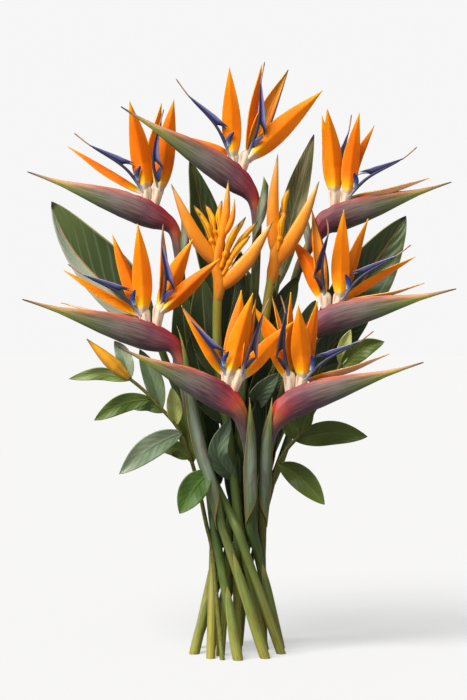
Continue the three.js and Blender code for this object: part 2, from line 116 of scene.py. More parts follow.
bpy.ops.object.select_all(action="DESELECT")
bpy.ops.mesh.primitive_plane_add(size=160)
floor = bpy.context.object
floor.name = "floor"
paper = bpy.data.materials.new("matt_white_paper")
paper.use_nodes = True
paper.node_tree.nodes.clear()
sheet = add(paper.node_tree, "BsdfDiffuse", {"Color": (PAPER_GREY, PAPER_GREY, PAPER_GREY, 1)})
view_ray = add(paper.node_tree, "LightPath")
seen_glow = add(paper.node_tree, "Math", {0: view_ray.outputs["Is Camera Ray"], 1: PAPER_GLOW},
                operation="MULTIPLY")
glow = add(paper.node_tree, "Emission", {"Color": (1, 1, 1, 1), "Strength": seen_glow})
lit_paper = add(paper.node_tree, "AddShader", {0: sheet, 1: glow})
add(paper.node_tree, "OutputMaterial", {"Surface": lit_paper})
floor.data.materials.append(paper)


# Bird of paradise stems: a smooth waxy green flower stalk that bends over at the neck into a
# beak-shaped spathe, folded along its top like a boat with red lips. A leaf sheath wraps the
# stalk under the neck and stands free of it with a pointed tip.

STEM_RADIUS = 5.0
SPATHE_DEPTH = 32.0
SPATHE_WIDTH = 20.0
WAIST_HEIGHT = 118.0

# Rings of the spiral: millimetres from the middle at the waist, and lean outwards. Stalks that
# name no ring stand in the outer one.
INNER_RING = (10.15, 0.25)
OUTER_RING = (26.0, 0.36)
SPRAY_RING = (24.0, 0.36)
LEFT_SPRAY_RING = (30.0, 0.36)
MIDDLE = (0.0, 0.0)

SPIRAL_HEIGHTS = (-14, 52, WAIST_HEIGHT)
ABOVE_WAIST = 136
UP = np.array([0.0, 0.0, 1.0])
TO_VIEWER = np.array([0.0, -1.0, 0.0])

# Millimetres and degrees for welded seams and for the stalks' cut ends.
WELD = 0.002
LEVEL = 0.01
FACING_DOWN = -0.9
RIM_ANGLE = 50

# Throat and tip are the ends of a flower's beak. Each floret gives the root and the top of its
# column beside the throat and, beside that top, the tips of its sepals, with their width and
# turn, and the line of its arrow.
FLOWERS = [
    dict(name="top_left", tone="green", low_top=74, throat=(-101, 38, 484), tip=(-238, 52, 533),
        degrees=212,
        stem=[(-34, 2, 208), (-45, 15, 287), (-54, 25, 342), (-62, 34, 398), (-67, 37, 445),
            (-73, 38, 468)],
        sheath=[(-58, 36, 400), (-59, 36, 440), (-61, 36, 466), (-64, 36, 485)],
        florets=[
            dict(root=(-1, 0, 0), top=(-2, 0, 34),
                sepals=[(-18, -8, 92, 23), (17, 8, 92, 20, 45), (-89, 8, 43, 16, 50)],
                arrow=[(-2, -1, -10), (-22, -6, 16), (-62, -7, 42), (-80, -7, 56)]),
            dict(root=(6, 0, 0), top=(13, 0, 34), sepals=[(17, -8, 94, 23)],
                arrow=[(0, 0, -10), (-6, -12, 27), (2, -17, 66), (6, -17, 81)])]),
    dict(name="top_middle", throat=(-5, 18, 523), tip=(-129, 8, 600), ring=MIDDLE, degrees=0,
        stem=[(1, 3, 209), (4, 5, 276), (11, 12, 331), (18, 15, 386), (21, 17, 442), (21, 18, 480),
            (16, 18, 502)],
        sheath=[(20, 15, 440), (26, 15, 474), (28, 15, 505), (29, 15, 524)],
        florets=[
            dict(root=(0, 0, 0), top=(0, 0, 29), sepals=[(-4, -6, 93, 21), (-46, 0, 15, 19, 10)],
                arrow=[(-1, -1, -10), (-18, -6, 26), (-49, -8, 60), (-63, -8, 79)]),
            dict(root=(7, 0, -2), top=(16, 0, 30),
                sepals=[(16, 6, 97, 18, 55), (46, 14, 92, 20, 10), (83, -8, 65, 24)], dry=(1,),
                arrow=[(-1, 0, -10), (12, -8, 27), (15, -12, 74), (19, -12, 96)])]),
    dict(name="top_right", low_top=66, throat=(110, 30, 478), tip=(241, 40, 520), degrees=140,
        stem=[(7, 32, 200), (24, 34, 255), (39, 32, 305), (50, 31, 342), (59, 32, 387), (70, 31, 426),
            (84, 30, 452), (98, 30, 472)],
        sheath=[(68, 30, 420), (77, 29, 446), (79, 29, 466), (78, 29, 482)],
        florets=[
            dict(root=(5, 0, 1), top=(13, 0, 33),
                sepals=[(13, -8, 85, 19), (31, 10, 73, 18, 45), (92, 4, 13, 16, 46)], faded=(2,),
                arrow=[(0, -1, -10), (21, -6, 11), (61, -9, 33), (77, -9, 46)]),
            dict(root=(-2, 0, 1), top=(-1, 0, 36), sepals=[(-14, 12, 81, 18, 30), (-9, -7, 86, 23)],
                arrow=[(0, 0, -10), (8, 13, 29), (17, 17, 65), (20, 17, 83)])]),
    dict(name="middle_left", low_top=110, throat=(-94, -35, 345), tip=(-230, -50, 385), degrees=248,
        stem=[(-28, -31, 185), (-41, -35, 228), (-53, -36, 277), (-59, -36, 304), (-63, -35, 322),
            (-70, -35, 336)],
        sheath=[(-50, -40, 270), (-55, -39, 300), (-58, -38, 325), (-62, -37, 345), (-66, -37, 357)],
        upper_radius=6.4,
        florets=[
            dict(root=(-2, 0, 0), top=(-8, 0, 33),
                sepals=[(-34, 10, 78, 18, 30), (-5, -10, 88, 21), (-86, 6, 39, 14, 40),
                    (-89, 4, 4, 9, 45)], faded=(3,),
                arrow=[(-1, -1, -10), (-24, -6, 13), (-62, -9, 33), (-80, -9, 45)]),
            dict(root=(5, 0, 0), top=(10, 0, 36),
                sepals=[(3, 10, 85, 16, 55), (36, -8, 69, 21), (65, -22, 47, 17)], dry=(0,),
                arrow=[(0, 0, -10), (7, -11, 24), (3, -18, 64), (5, -18, 85)])]),
    dict(name="middle_right", tone="tan", low_top=90, throat=(101, -15, 364), tip=(236, -32, 397),
        ring=INNER_RING, degrees=18,
        stem=[(24, -3, 180), (39, -7, 240), (49, -9, 280), (57, -12, 309), (67, -15, 335),
            (86, -15, 356)],
        sheath=[(52, -14, 290), (60, -16, 320), (66, -17, 342), (70, -17, 358)],
        florets=[
            dict(root=(4, 0, 1), top=(11, 0, 31),
                sepals=[(3, -12, 88, 20), (31, 8, 80, 18, 40), (82, 4, 38, 14, 40), (92, 2, 9, 10, 45)],
                faded=(3,), arrow=[(0, -1, -10), (22, -6, 15), (60, -10, 38), (76, -10, 50)]),
            dict(root=(-3, 0, 0), top=(-6, 0, 31), sepals=[(-36, 20, 60, 20), (-13, 14, 90, 16, 15)],
                dry=(1,), old=True, arrow=[(0, 0, -10), (-3, -9, 29), (3, -16, 64), (1, -16, 79)])]),
    dict(name="lower_left", tone="green", low_top=100, rear=14.0, throat=(-17, -62, 281),
        tip=(-125, -78, 334), degrees=320,
        stem=[(15, -36, 175), (12, -51, 226), (6, -59, 250), (0, -62, 266)],
        sheath=[(14, -42, 178), (13, -54, 214), (12, -63, 245), (12, -65, 264), (12, -66, 281)],
        upper_radius=6.4,
        florets=[
            dict(root=(3, 0, -3), top=(7, 0, 31),
                sepals=[(14, 14, 83, 21), (26, -8, 79, 21), (-50, 4, 66, 18, 40)],
                arrow=[(-1, -1, -10), (-14, -6, 15), (-37, -9, 47), (-49, -9, 65)]),
            dict(root=(10, 0, 0), top=(20, 0, 30), sepals=[(57, 0, 51, 18), (17, 16, 75, 14, 45)],
                dry=(1,), old=True, arrow=[(0, 0, -10), (10, -12, 21), (26, -20, 65), (31, -20, 76)])]),
    dict(name="lower_right", tone="tan", rear=14.0, throat=(58, -55, 273), tip=(196, -70, 318),
        degrees=356, stem=[(28, -27, 184), (31, -43, 226), (37, -51, 246), (46, -55, 262)],
        sheath=[(29, -30, 182), (31, -43, 214), (34, -55, 245), (36, -60, 265), (37, -60, 281)],
        upper_radius=6.4,
        florets=[
            dict(root=(5, 0, 1), top=(12, 0, 36),
                sepals=[(-6, -12, 70, 21), (15, 6, 75, 18, 30), (92, 4, 18, 14, 40)], faded=(2,),
                arrow=[(0, -1, -10), (22, -6, 10), (59, -10, 31), (74, -10, 42)]),
            dict(root=(-2, 0, 0), top=(-3, 0, 36),
                sepals=[(2, 12, 84, 14, 50), (-38, 14, 69, 20), (-18, 22, 81, 12, 50)], dry=(2,),
                old=True, arrow=[(0, 0, -10), (-6, -12, 27), (-5, -21, 61), (-10, -22, 80)])])]


def in_spiral(plant, height):
    """A straight stalk that leans past the middle of the bundle, closest to it at the waist."""
    waist, lean = plant.get("ring", OUTER_RING)
    east, north = math.cos(math.radians(plant["degrees"])), math.sin(math.radians(plant["degrees"]))
    shift = lean * (height - WAIST_HEIGHT)
    return (waist * east + shift * north, waist * north - shift * east, height)


def stem_path(plant, upper, straight=True):
    """The straight foot of a stalk in the spiral, then its own points above the waist."""
    heights = SPIRAL_HEIGHTS + (ABOVE_WAIST,) if straight else SPIRAL_HEIGHTS
    return [in_spiral(plant, z) for z in heights] + list(upper)


def unit(vector):
    """The vector, or each of the vectors, at length 1."""
    vector = np.asarray(vector, float)
    return vector / np.linalg.norm(vector, axis=-1, keepdims=True)


def smooth_line(points, steps=14):
    """A smooth curve through the points, as a dense line of points."""
    p = np.array(points, float)
    p = np.vstack([2 * p[0] - p[1], p, 2 * p[-1] - p[-2]])
    line = []
    for a, b, c, d in zip(p, p[1:], p[2:], p[3:]):
        k1 = math.sqrt(np.linalg.norm(b - a))
        k2 = k1 + math.sqrt(np.linalg.norm(c - b))
        k3 = k2 + math.sqrt(np.linalg.norm(d - c))
        t = np.linspace(k1, k2, steps, endpoint=False)[:, None]
        ab = a + (b - a) * t / k1
        bc = b + (c - b) * (t - k1) / (k2 - k1)
        cd = c + (d - c) * (t - k2) / (k3 - k2)
        abc = ab + (bc - ab) * t / k2
        bcd = bc + (cd - bc) * (t - k1) / (k3 - k1)
        line.append(abc + (bcd - abc) * (t - k1) / (k2 - k1))
    return np.vstack(line + [p[-2]])


class Route:
    """A smooth line with places and directions at millimetres along it."""

    def __init__(self, points):
        self.line = smooth_line(points)
        steps = np.linalg.norm(np.diff(self.line, axis=0), axis=1)
        self.marks = np.concatenate([[0], np.cumsum(steps)])
        self.length = self.marks[-1]
        self.slopes = np.gradient(self.line, self.marks, axis=0)

    def at(self, distance, facing=TO_VIEWER):
        """Places, directions along, and the two directions across and out to the facing side."""
        spots, ways = (np.stack([np.interp(distance, self.marks, column) for column in table.T], -1)
                       for table in (self.line, self.slopes))
        ways = unit(ways)
        out = unit(facing - (ways @ facing)[..., None] * ways)
        return spots, ways, np.cross(ways, out), out

    def beside(self, distance, sideways, outwards, facing=TO_VIEWER):
        """Places so far across from the line and so far out to the facing side."""
        spots, _, across, out = self.at(distance, facing)
        return spots + across * sideways[:, None] + out * outwards[:, None]


def pick(*pieces):
    """Selects these pieces alone and makes the first one active."""
    bpy.ops.object.select_all(action="DESELECT")
    for piece in pieces:
        piece.select_set(True)
    bpy.context.view_layer.objects.active = pieces[0]


def laid(name, columns, rows, shape, skin, closed=False):
    """A grid whose points are laid out by shape(u, v), which gives places and UV. A closed one
    is welded along its seam and at its ends."""
    bpy.ops.object.select_all(action="DESELECT")
    bpy.ops.mesh.primitive_grid_add(x_subdivisions=columns, y_subdivisions=rows, size=1)
    piece = bpy.context.object
    piece.name = name
    mesh = piece.data
    flat = np.empty(len(mesh.vertices) * 3)
    mesh.vertices.foreach_get("co", flat)
    flat = flat.reshape(-1, 3)
    places, around, along = shape(flat[:, 0] + 0.5, flat[:, 1] + 0.5)
    mesh.vertices.foreach_set("co", ((places + TO_FRAME) * MM).ravel())
    corners = np.empty(len(mesh.loops), dtype=int)
    mesh.loops.foreach_get("vertex_index", corners)
    uv = np.stack([around[corners], along[corners]], -1)
    mesh.uv_layers.active.data.foreach_set("uv", uv.ravel())
    mesh.update()
    if closed:
        bpy.ops.object.mode_set(mode="EDIT")
        bpy.ops.mesh.select_all(action="SELECT")
        bpy.ops.mesh.remove_doubles(threshold=WELD * MM)
        bpy.ops.mesh.normals_make_consistent(inside=False)
        bpy.ops.object.mode_set(mode="OBJECT")
    bpy.ops.object.shade_smooth()
    mesh.materials.append(skin)
    return piece


def thicken(piece, thickness, back_skin=None):
    """Gives a sheet its thickness, with a skin of its own on the back if it has one."""
    bpy.context.view_layer.objects.active = piece
    bpy.ops.object.modifier_add(type="SOLIDIFY")
    wall = piece.modifiers[-1]
    wall.thickness = thickness * MM
    wall.offset = 0
    if back_skin:
        piece.data.materials.append(back_skin)
        wall.material_offset = 1
    bpy.ops.object.modifier_apply(modifier=wall.name)
    return piece


def joined(name, pieces):
    """Several shapes made one piece, each keeping its own materials."""
    pick(*pieces)
    if len(pieces) > 1:
        bpy.ops.object.join()
    pieces[0].name = name
    pieces[0].data.name = name
    return pieces[0]


def grown(piece, slot, *nodes):
    """Puts a finished piece in the place of its solids."""
    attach(piece, "root")
    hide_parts(*nodes)


def closed_ends(v, rows):
    """The share of the length at each row, and a factor that draws both end rows to a point."""
    row = np.round(v * rows)
    return np.clip((row - 1) / (rows - 2), 0, 1), np.where((row < 0.5) | (row > rows - 0.5), 0.0, 1.0)


def tube(name, points, radius_at, skin, columns=16, rows=60, wide=1.0, lobes=(0, 0.0), span=None):
    """A closed stalk along the points. Its radius goes by the share of its length, wide widens
    it across the view, and lobes gives the number and depth of its lengthwise ridges."""
    route = Route(points)

    def shape(u, v):
        t, ends = closed_ends(v, rows)
        angle = 2 * np.pi * u
        radius = radius_at(t) * (1 + lobes[1] * np.cos(lobes[0] * angle)) * ends
        sideways = radius * np.sin(angle) * (1 + (wide - 1) * t)
        places = route.beside(t * route.length, sideways, radius * np.cos(angle))
        return places, u, t * route.length / (span or route.length)
    return laid(name, columns, rows, shape, skin, closed=True)


def cut_at_floor(piece):
    """Cuts a stalk off level where the bouquet stands; the cut shows its pale pith."""
    pick(piece)
    bpy.ops.object.mode_set(mode="EDIT")
    bpy.ops.mesh.select_all(action="SELECT")
    bpy.ops.mesh.bisect(plane_co=(0, 0, 0), plane_no=UP, use_fill=True, clear_inner=True)
    bpy.ops.object.mode_set(mode="OBJECT")
    piece.data.materials.append(cut_pith)
    for face in piece.data.polygons:
        if face.center.z < LEVEL * MM and face.normal.z < FACING_DOWN:
            face.material_index = len(piece.data.materials) - 1
    bpy.ops.object.shade_smooth_by_angle(angle=math.radians(RIM_ANGLE))
    return piece


VEIN_BEND = 0.8


def plant_skin(name, stops, zones=(), streaks=(30, 2), patches=(2.5, 3), veins=None, span=(0, 1),
               roughness=0.42, coat=0.05, soft=0.0, gleam=0.35, relief=0.35):
    """A living plant surface. Stops colour it along its length, over the span of it. Each zone
    then lays one more colour, or stops of its own, over a part: source, where it starts, where
    it is full, share, colour, blend. Streaks and patches give their number of cells across and
    along it, veins their number, slant and wobble, and relief the depth of the bump in mm."""
    made = bpy.data.materials.new(name)
    made.use_nodes = True
    tree = made.node_tree
    tree.nodes.clear()

    def sum_node(operation, *values):
        return add(tree, "Math", dict(enumerate(values)), operation=operation)

    uv = add(tree, "UVMap", uv_map="UVMap")
    place = add(tree, "SeparateXYZ", {"Vector": uv})
    across, length = place.outputs["X"], place.outputs["Y"]
    along = add(tree, "MapRange", {"Value": length, "From Min": span[0], "From Max": span[1]})
    off = sum_node("ABSOLUTE", sum_node("SUBTRACT", across, 0.5))
    sources = {"along": along, "across": across, "length": length, "off": off}
    for source, (across_count, along_count) in (("streak", streaks), ("patch", patches)):
        stretched = add(tree, "Mapping", {"Vector": uv, "Scale": (across_count, along_count, 1)})
        sources[source] = add(tree, "TexNoise", {"Vector": stretched, "Scale": 1.0, "Detail": 2.5})
    if veins:
        count, slant, wobble = veins
        slanted = sum_node("MULTIPLY_ADD", sum_node("POWER", off, VEIN_BEND), -slant, length)
        swayed = sum_node("MULTIPLY_ADD", sources["patch"], wobble, slanted)
        sources["vein"] = sum_node("SINE", sum_node("MULTIPLY", swayed, count * math.tau))
    if any(zone[0] == "height" for zone in zones):
        where = add(tree, "TexCoord")
        above = add(tree, "SeparateXYZ", {"Vector": where.outputs["Object"]})
        sources["height"] = above.outputs["Z"]
    tone = add(tree, "ValToRGB", {0: along}, stops)
    for source, start, full, share, colour, *blend in zones:
        level = add(tree, "MapRange", {"Value": sources[source], "From Min": start, "From Max": full,
                                       "To Max": share})
        paint = linear(colour) if isinstance(colour, str) else add(tree, "ValToRGB", {0: along}, colour)
        tone = add(tree, "Mix", {0: level, 6: tone, 7: paint}, data_type="RGBA",
                   blend_type=blend[0] if blend else "MIX")
    raised = add(tree, "Bump", {"Height": sources["vein" if veins else "streak"], "Strength": 0.6,
                                "Distance": relief * MM})
    worn = add(tree, "MapRange", {"Value": sources["patch"], "From Min": 0.3, "From Max": 0.7,
                                  "To Min": roughness - 0.06, "To Max": roughness + 0.1})
    skin = add(tree, "BsdfPrincipled", {
        "Base Color": tone, "Roughness": worn, "IOR": 1.42, "Specular IOR Level": gleam,
        "Coat Weight": coat, "Coat Roughness": 0.25, "Subsurface Weight": soft,
        "Subsurface Radius": (0.004, 0.0015, 0.0006), "Subsurface Scale": 1.0, "Normal": raised})
    add(tree, "OutputMaterial", {"Surface": skin})
    return made


# The spathe's depth at places ahead of its throat, for a beak of the stated reach.
SPATHE_PROFILE = [(-75, 10.4), (-48, 11.5), (-34, 14.5), (-24, 19.5), (-12, 27), (0, 31), (9, 32),
    (30, 30), (54, 24), (79, 15), (102, 7.2), (123, 3.4), (143, 1.2)]
SPATHE_REACH = 143.0
NECK_LENGTH = 60.0
NECK_START = -0.9
REAR = 34.0
STALK_SPAN = 100
SLIT_DEPTH = 7.0
LIP_RISE = 1.5
LIP_RUFFLE = 0.45
SMALL_RUFFLE = 0.2
RIB_HEIGHT = 0.16
RIBS = 11
SHEATH_SLANT = 62.0
SHEATH_STEP = 25
BELOW_FLOOR = -6
SHEATH_THICK = 0.8
LOW_SHEATH_THICK = 0.5
STEM_ROWS = 60
BEAK_ROWS = 110

# Living waxy skin. Seen from the side, the red folded margin lies over a brown band, a grey flank with a
# pale bloom and a dark underside, and all of it greens and dries to the tip. The pale bloom streaks are
# partly painted highlight, and the darker underside is partly painted shade.
flank = {0: "#5a6644", 0.2: "#5c5c48", 0.33: "#604e48", 0.4: "#76504a", 0.44: "#9c5a3c", 0.474: "#a03a32",
    0.5: "#86323c", 0.54: "#6c333e", 0.575: "#64404a", 0.62: "#6e5450", 0.68: "#786c64", 0.74: "#72745c",
    1: "#3a2a1c"}
waxy_spathes = {tone: plant_skin("waxy_spathe_and_" + tone + "_stalk",
    flank | {0.8: "#5c6e36", 0.86: "#68802a", 0.92: "#a6a83e", 0.955: "#a8843e", 0.985: "#4a3420"},
    zones=[
        ("across", 0.6, 0.46, 1.0,
            flank | {0.8: "#8a7c54", 0.85: "#a89048", 0.9: "#d0a454", 0.955: "#b8865a",
                0.985: "#4a3420"}),
        # the underside, darker: partly its own colour, partly painted shade
        ("across", 0.55, 0.75, 1.0,
            {0: "#50603a", 0.2: "#5a584a", 0.33: "#5c4c50", 0.42: "#644a54", 0.474: "#5c424c",
                0.575: "#523e46", 0.66: "#585050", 0.72: "#5c5e4a", 0.776: "#586a34", 0.847: "#8a9840",
                0.92: "#b0ac4a", 0.955: "#98743a", 0.985: "#4a3420", 1: "#3a2a1c"}),
        ("across", 0.46, 0.3, 0.85,
            {0: "#5d6b40", 0.35: "#70683f", 0.4: "#93703e", 0.44: "#b8602f", 0.474: "#b0402c",
                0.52: "#8c2c38", 0.575: "#6c3038", 0.63: "#6a3c3c", 0.705: "#744a42", 0.776: "#a06a50",
                0.82: "#c88c60", 0.9: "#e4ac78", 0.955: "#b8865a", 0.985: "#4a3420", 1: "#3a2a1c"}),
        ("across", 0.3, 0.17, 1.0,
            {0: "#66733f", 0.35: "#83783f", 0.4: "#b4803a", 0.44: "#d6702c", 0.474: "#cc3424",
                0.52: "#a01e2e", 0.575: "#961c2a", 0.61: "#a02a2a", 0.66: "#b0463e", 0.72: "#c05a4a",
                0.8: "#d68460", 0.87: "#e8a878", 0.92: "#e4b07c", 0.965: "#a87850", 0.985: "#4a3420",
                1: "#3a2a1c"}),
        ("across", 0.16, 0.08, 0.9,
            {0: "#66733f", 0.44: "#d6702c", 0.474: "#cc3424", 0.56: "#a81c28", 0.6: "#d8482a",
                0.64: "#ee8a2c", 0.7: "#e2762c", 0.76: "#dc6c58", 0.86: "#e8a47c", 0.92: "#e4b07c",
                0.965: "#a87850", 0.985: "#4a3420", 1: "#3a2a1c"}),
        ("across", 0.945, 0.975, 0.7, "#9c9a80"), ("length", -0.7, -1.5, 1.0, "#5a6c42"),
        ("height", 0.2, 0.05, 0.8, "#757c30"), ("height", 0.12, 0.015, 0.75, "#b4ac4c"),
        # pale bloom streaks: partly wax bloom, partly painted highlight
        ("streak", 0.52, 0.7, 0.56,
            {0: "#a6ac66", 0.33: "#8c7a6c", 0.44: "#cc6038", 0.5: "#a04848", 0.58: "#8e7674",
                0.66: "#98908a", 0.8: "#8e9866", 1: "#a8a6a4"}),
        ("streak", 0.5, 0.3, 0.75,
            {0: "#30381a", 0.35: "#33242a", 0.46: "#84281e", 0.52: "#501e2a", 0.6: "#402e34",
                0.72: "#40443a", 1: "#2c2024"}),
        ("patch", 0.52, 0.7, 0.4,
            {0: "#94a070", 0.33: "#7c6c62", 0.44: "#b85a38", 0.5: "#90343c", 0.6: "#847874",
                0.76: "#7e8450", 1: "#a8a6a4"}), ("patch", 0.44, 0.3, 0.6, "#7a5c38", "MULTIPLY"),
        ("along", 0.3, 0.12, 0.9, tint, "MULTIPLY")], streaks=(52, 5), patches=(3, 2.6),
    span=(NECK_START, 1), roughness=0.44, coat=0.04, gleam=0.32, relief=0.5)
    for tone, tint in (("lime", "#f8f8e8"), ("green", "#a0bca4"), ("tan", "#e4c28c"))}

# Ribbed leaf base: grey-green with a pale waxy bloom down its middle, papery pink-brown margins, and
# yellow-green towards its free tip. The pale band down the middle is partly painted highlight.
ribbed_sheath = plant_skin("ribbed_leaf_sheath",
    {0: "#5a6b3e", 0.4: "#566a48", 0.7: "#5c6c3c", 0.84: "#788636", 0.95: "#a89a44", 1: "#b8883c"},
    zones=[
        # pale middle band: partly waxy bloom, partly painted highlight
        ("off", 0.3, 0.06, 0.7,
            {0: "#7d8c68", 0.2: "#a2aa9c", 0.52: "#a6ae9c", 0.74: "#6e7e42", 1: "#a0a04e"}),
        ("streak", 0.45, 0.3, 0.7, "#38482c"), ("streak", 0.56, 0.7, 0.5, "#a8b09c"),
        ("height", 0.2, 0.08, 0.7, "#7d8636"), ("off", 0.3, 0.42, 0.5, "#4c4038"),
        ("off", 0.44, 0.475, 0.9, "#b87a60"), ("along", 0.03, 0.008, 0.9, "#b0904e"),
        ("patch", 0.46, 0.3, 0.6, "#6e4c42")], streaks=(30, 2.4), patches=(2, 5), roughness=0.5,
    relief=0.7)

# Outer leaf base: lime green with green ribs and dry tan-brown margins.
foot_sheath = plant_skin("foot_leaf_sheath",
    {0: "#9a9440", 0.4: "#7d8638", 0.8: "#6c7c3c", 0.93: "#98924a", 1: "#b08848"},
    zones=[("streak", 0.45, 0.3, 0.7, "#4a5622"), ("streak", 0.55, 0.7, 0.5, "#b4b46a"),
        ("off", 0.36, 0.43, 0.5, "#a89a60"), ("off", 0.47, 0.495, 0.7, "#7a6240"),
        ("patch", 0.46, 0.3, 0.6, "#7a5a34")], streaks=(26, 2.2), patches=(2, 4), roughness=0.5,
    relief=0.6)

# Freshly cut pith: wet, spongy and pale lime, with pores of about a millimetre.
cut_pith = plant_skin("cut_pith", {0: "#a7ad52", 1: "#c3c878"},
    zones=[("patch", 0.5, 0.3, 0.7, "#7f8836")], streaks=(12, 400), patches=(14, 300), roughness=0.5)


def spathe_and_stem(flower):
    """The stalk, its bent neck and the beak, as one skin: the top is creased by the slit
    between two ruffled lips, and fine ribs run along the flanks."""
    route = Route(stem_path(flower, flower["stem"]) + [flower["throat"], flower["tip"]])
    throat_at = route.marks[np.argmin(np.linalg.norm(route.line - np.array(flower["throat"]), axis=1))]
    side = unit(np.cross(np.subtract(flower["tip"], flower["throat"]), UP))
    reach = route.length - throat_at
    stretch = reach / SPATHE_REACH
    marks, depths = np.array(SPATHE_PROFILE).T
    marks = np.where(marks > 0, marks * stretch, marks)
    rows = STEM_ROWS + BEAK_ROWS
    neck_at = throat_at - NECK_LENGTH
    rear = flower.get("rear", REAR)
    upper_radius = flower.get("upper_radius", STEM_RADIUS)

    def shape(u, v):
        inner = np.clip(np.round(v * rows) - 1, 0, rows - 2)
        on_stem = np.clip(inner / STEM_ROWS, 0, 1) * neck_at
        on_beak = np.clip((inner - STEM_ROWS) / (rows - 2 - STEM_ROWS), 0, 1) * (route.length - neck_at)
        distance = on_stem + on_beak
        spots, ways = route.at(distance)[:2]
        across = unit(side - (ways @ side)[:, None] * ways)
        out = np.cross(across, ways)
        ahead = distance - throat_at
        thick = 2 * np.interp(distance / neck_at, [0.5, 0.62], [STEM_RADIUS, upper_radius])
        depth = np.maximum(np.interp(ahead, marks, depths, left=0), np.where(ahead < 0, thick, 0))
        flat = np.interp(ahead, [-60, -20, 0, 60], [1.0, 0.82, SPATHE_WIDTH / SPATHE_DEPTH, 0.6])
        ends = closed_ends(v, rows)[1]
        angle = 2 * np.pi * u - 0.7 * np.sin(2 * np.pi * u)
        from_top = np.minimum(angle, 2 * np.pi - angle)
        slit = np.interp(ahead / stretch, [-22, -10, 8, 70, 118, 130], [0, 1, 1, 0.6, 0.25, 0])
        slit = slit * np.minimum(depth / 20, 1)
        agape = np.interp(ahead, [-16, -6, 18, 40], [0, 1, 1, 0])
        crest = 0.3 + 0.3 * agape
        ruffle = LIP_RUFFLE * agape * np.sin(ahead / 2.1) + SMALL_RUFFLE * np.sin(ahead / 5.3)
        groove = (LIP_RISE + ruffle) * np.exp(-((from_top - crest) / (0.45 * crest)) ** 2) \
            - SLIT_DEPTH * np.exp(-(from_top / (0.38 * crest)) ** 2)
        ribs = RIB_HEIGHT * np.cos(RIBS * from_top) * np.minimum(depth / 20, 1) * (ahead > -30)
        high = (0.5 * depth + ribs) * np.cos(angle) + slit * groove
        pinched = 1 - 0.2 * slit * np.clip(np.cos(angle), 0, 1) ** 2
        wide = (0.5 * depth * flat + ribs) * np.sin(angle) * pinched
        places = spots + across * (wide * ends)[:, None] + out * (high * ends)[:, None]
        along = np.where(ahead < -rear, (ahead + rear) / STALK_SPAN, (ahead + rear) / (rear + reach))
        return places, from_top / np.pi, along
    skin = waxy_spathes[flower.get("tone", "lime")]
    return cut_at_floor(laid("stem", 44, rows, shape, skin, closed=True))


def sheath(flower):
    """The leaf sheath under the neck. Its point stands free of the stalk, and it reaches down
    to the waist on the stalks that are thicker above it."""
    stalk_radius = flower.get("upper_radius", STEM_RADIUS)
    points = flower["sheath"]
    if stalk_radius > STEM_RADIUS:
        below = [point for point in flower["stem"] if point[2] < points[0][2] - SHEATH_STEP]
        points = [in_spiral(flower, ABOVE_WAIST)] + below + points
    route = Route(points)
    turned = -1 if flower["tip"][0] > flower["throat"][0] else 1
    facing = unit([0.3 * turned, -0.95, 0])

    def shape(u, v):
        slant = SHEATH_SLANT * (u if turned > 0 else 1 - u) * (1 - v)
        wrap = (2 * u - 1) * np.interp(v, [0, 0.25, 0.5, 0.72, 0.88, 1], [2.2, 1.7, 1.25, 0.54, 0.18, 0.01])
        bore = stalk_radius + np.interp(v, [0, 0.2, 0.5, 1], [0.2, 0.5, 1.3, 1.3])
        outwards = bore * np.cos(wrap) - np.interp(v, [0, 0.3, 0.6, 1], [0, 0, 3, 6])
        return route.beside(v * route.length + slant, bore * np.sin(wrap), outwards, facing), u, v
    return thicken(laid("sheath", 22, 56, shape, ribbed_sheath), SHEATH_THICK)


def low_sheath(plant, top):
    """The short outer leaf base of a stalk: it clasps the foot and ends in a point."""
    route = Route([in_spiral(plant, z) for z in np.linspace(BELOW_FLOOR, top, 5)])
    facing = unit([0.35, -0.94, 0])

    def shape(u, v):
        wrap = (2 * u - 1) * np.interp(v, [0, 0.4, 0.7, 0.9, 1], [2.0, 1.5, 0.95, 0.45, 0.02])
        bore = STEM_RADIUS + np.interp(v, [0, 0.12, 0.6, 1], [0.0, 0.5, 0.8, 1.6])
        return route.beside(v * route.length, bore * np.sin(wrap), bore * np.cos(wrap), facing), u, v
    return cut_at_floor(thicken(laid("low_sheath", 18, 40, shape, foot_sheath), LOW_SHEATH_THICK))


for flower in FLOWERS:
    shapes = [spathe_and_stem(flower), sheath(flower)]
    if "low_top" in flower:
        shapes.append(low_sheath(flower, flower["low_top"]))
    stem = joined(flower["name"] + "_stem_piece", shapes)
    grown(stem, "stem_green", flower["name"] + "_stem")


# Orange blooms: each floret is a pale fleshy column that fans out into three thin orange
# sepals, lance-shaped and drawn out to a sharp point. A faded sepal is thinner and pale; a
# withered one is curled, and brown along one edge.

COLUMN_RADIUS = 5.2
COLUMN_DEPTH = 3
SEPAL_THICK = 1.1
SEPAL_ROOT = 11
SEPAL_BOW = 4.0
CLASP = 4.6
DRY_CURL = 0.7
FADED_WIDTH = 0.75
DEEP_SHARE = 0.4
SEPAL_PEAK = 0.286
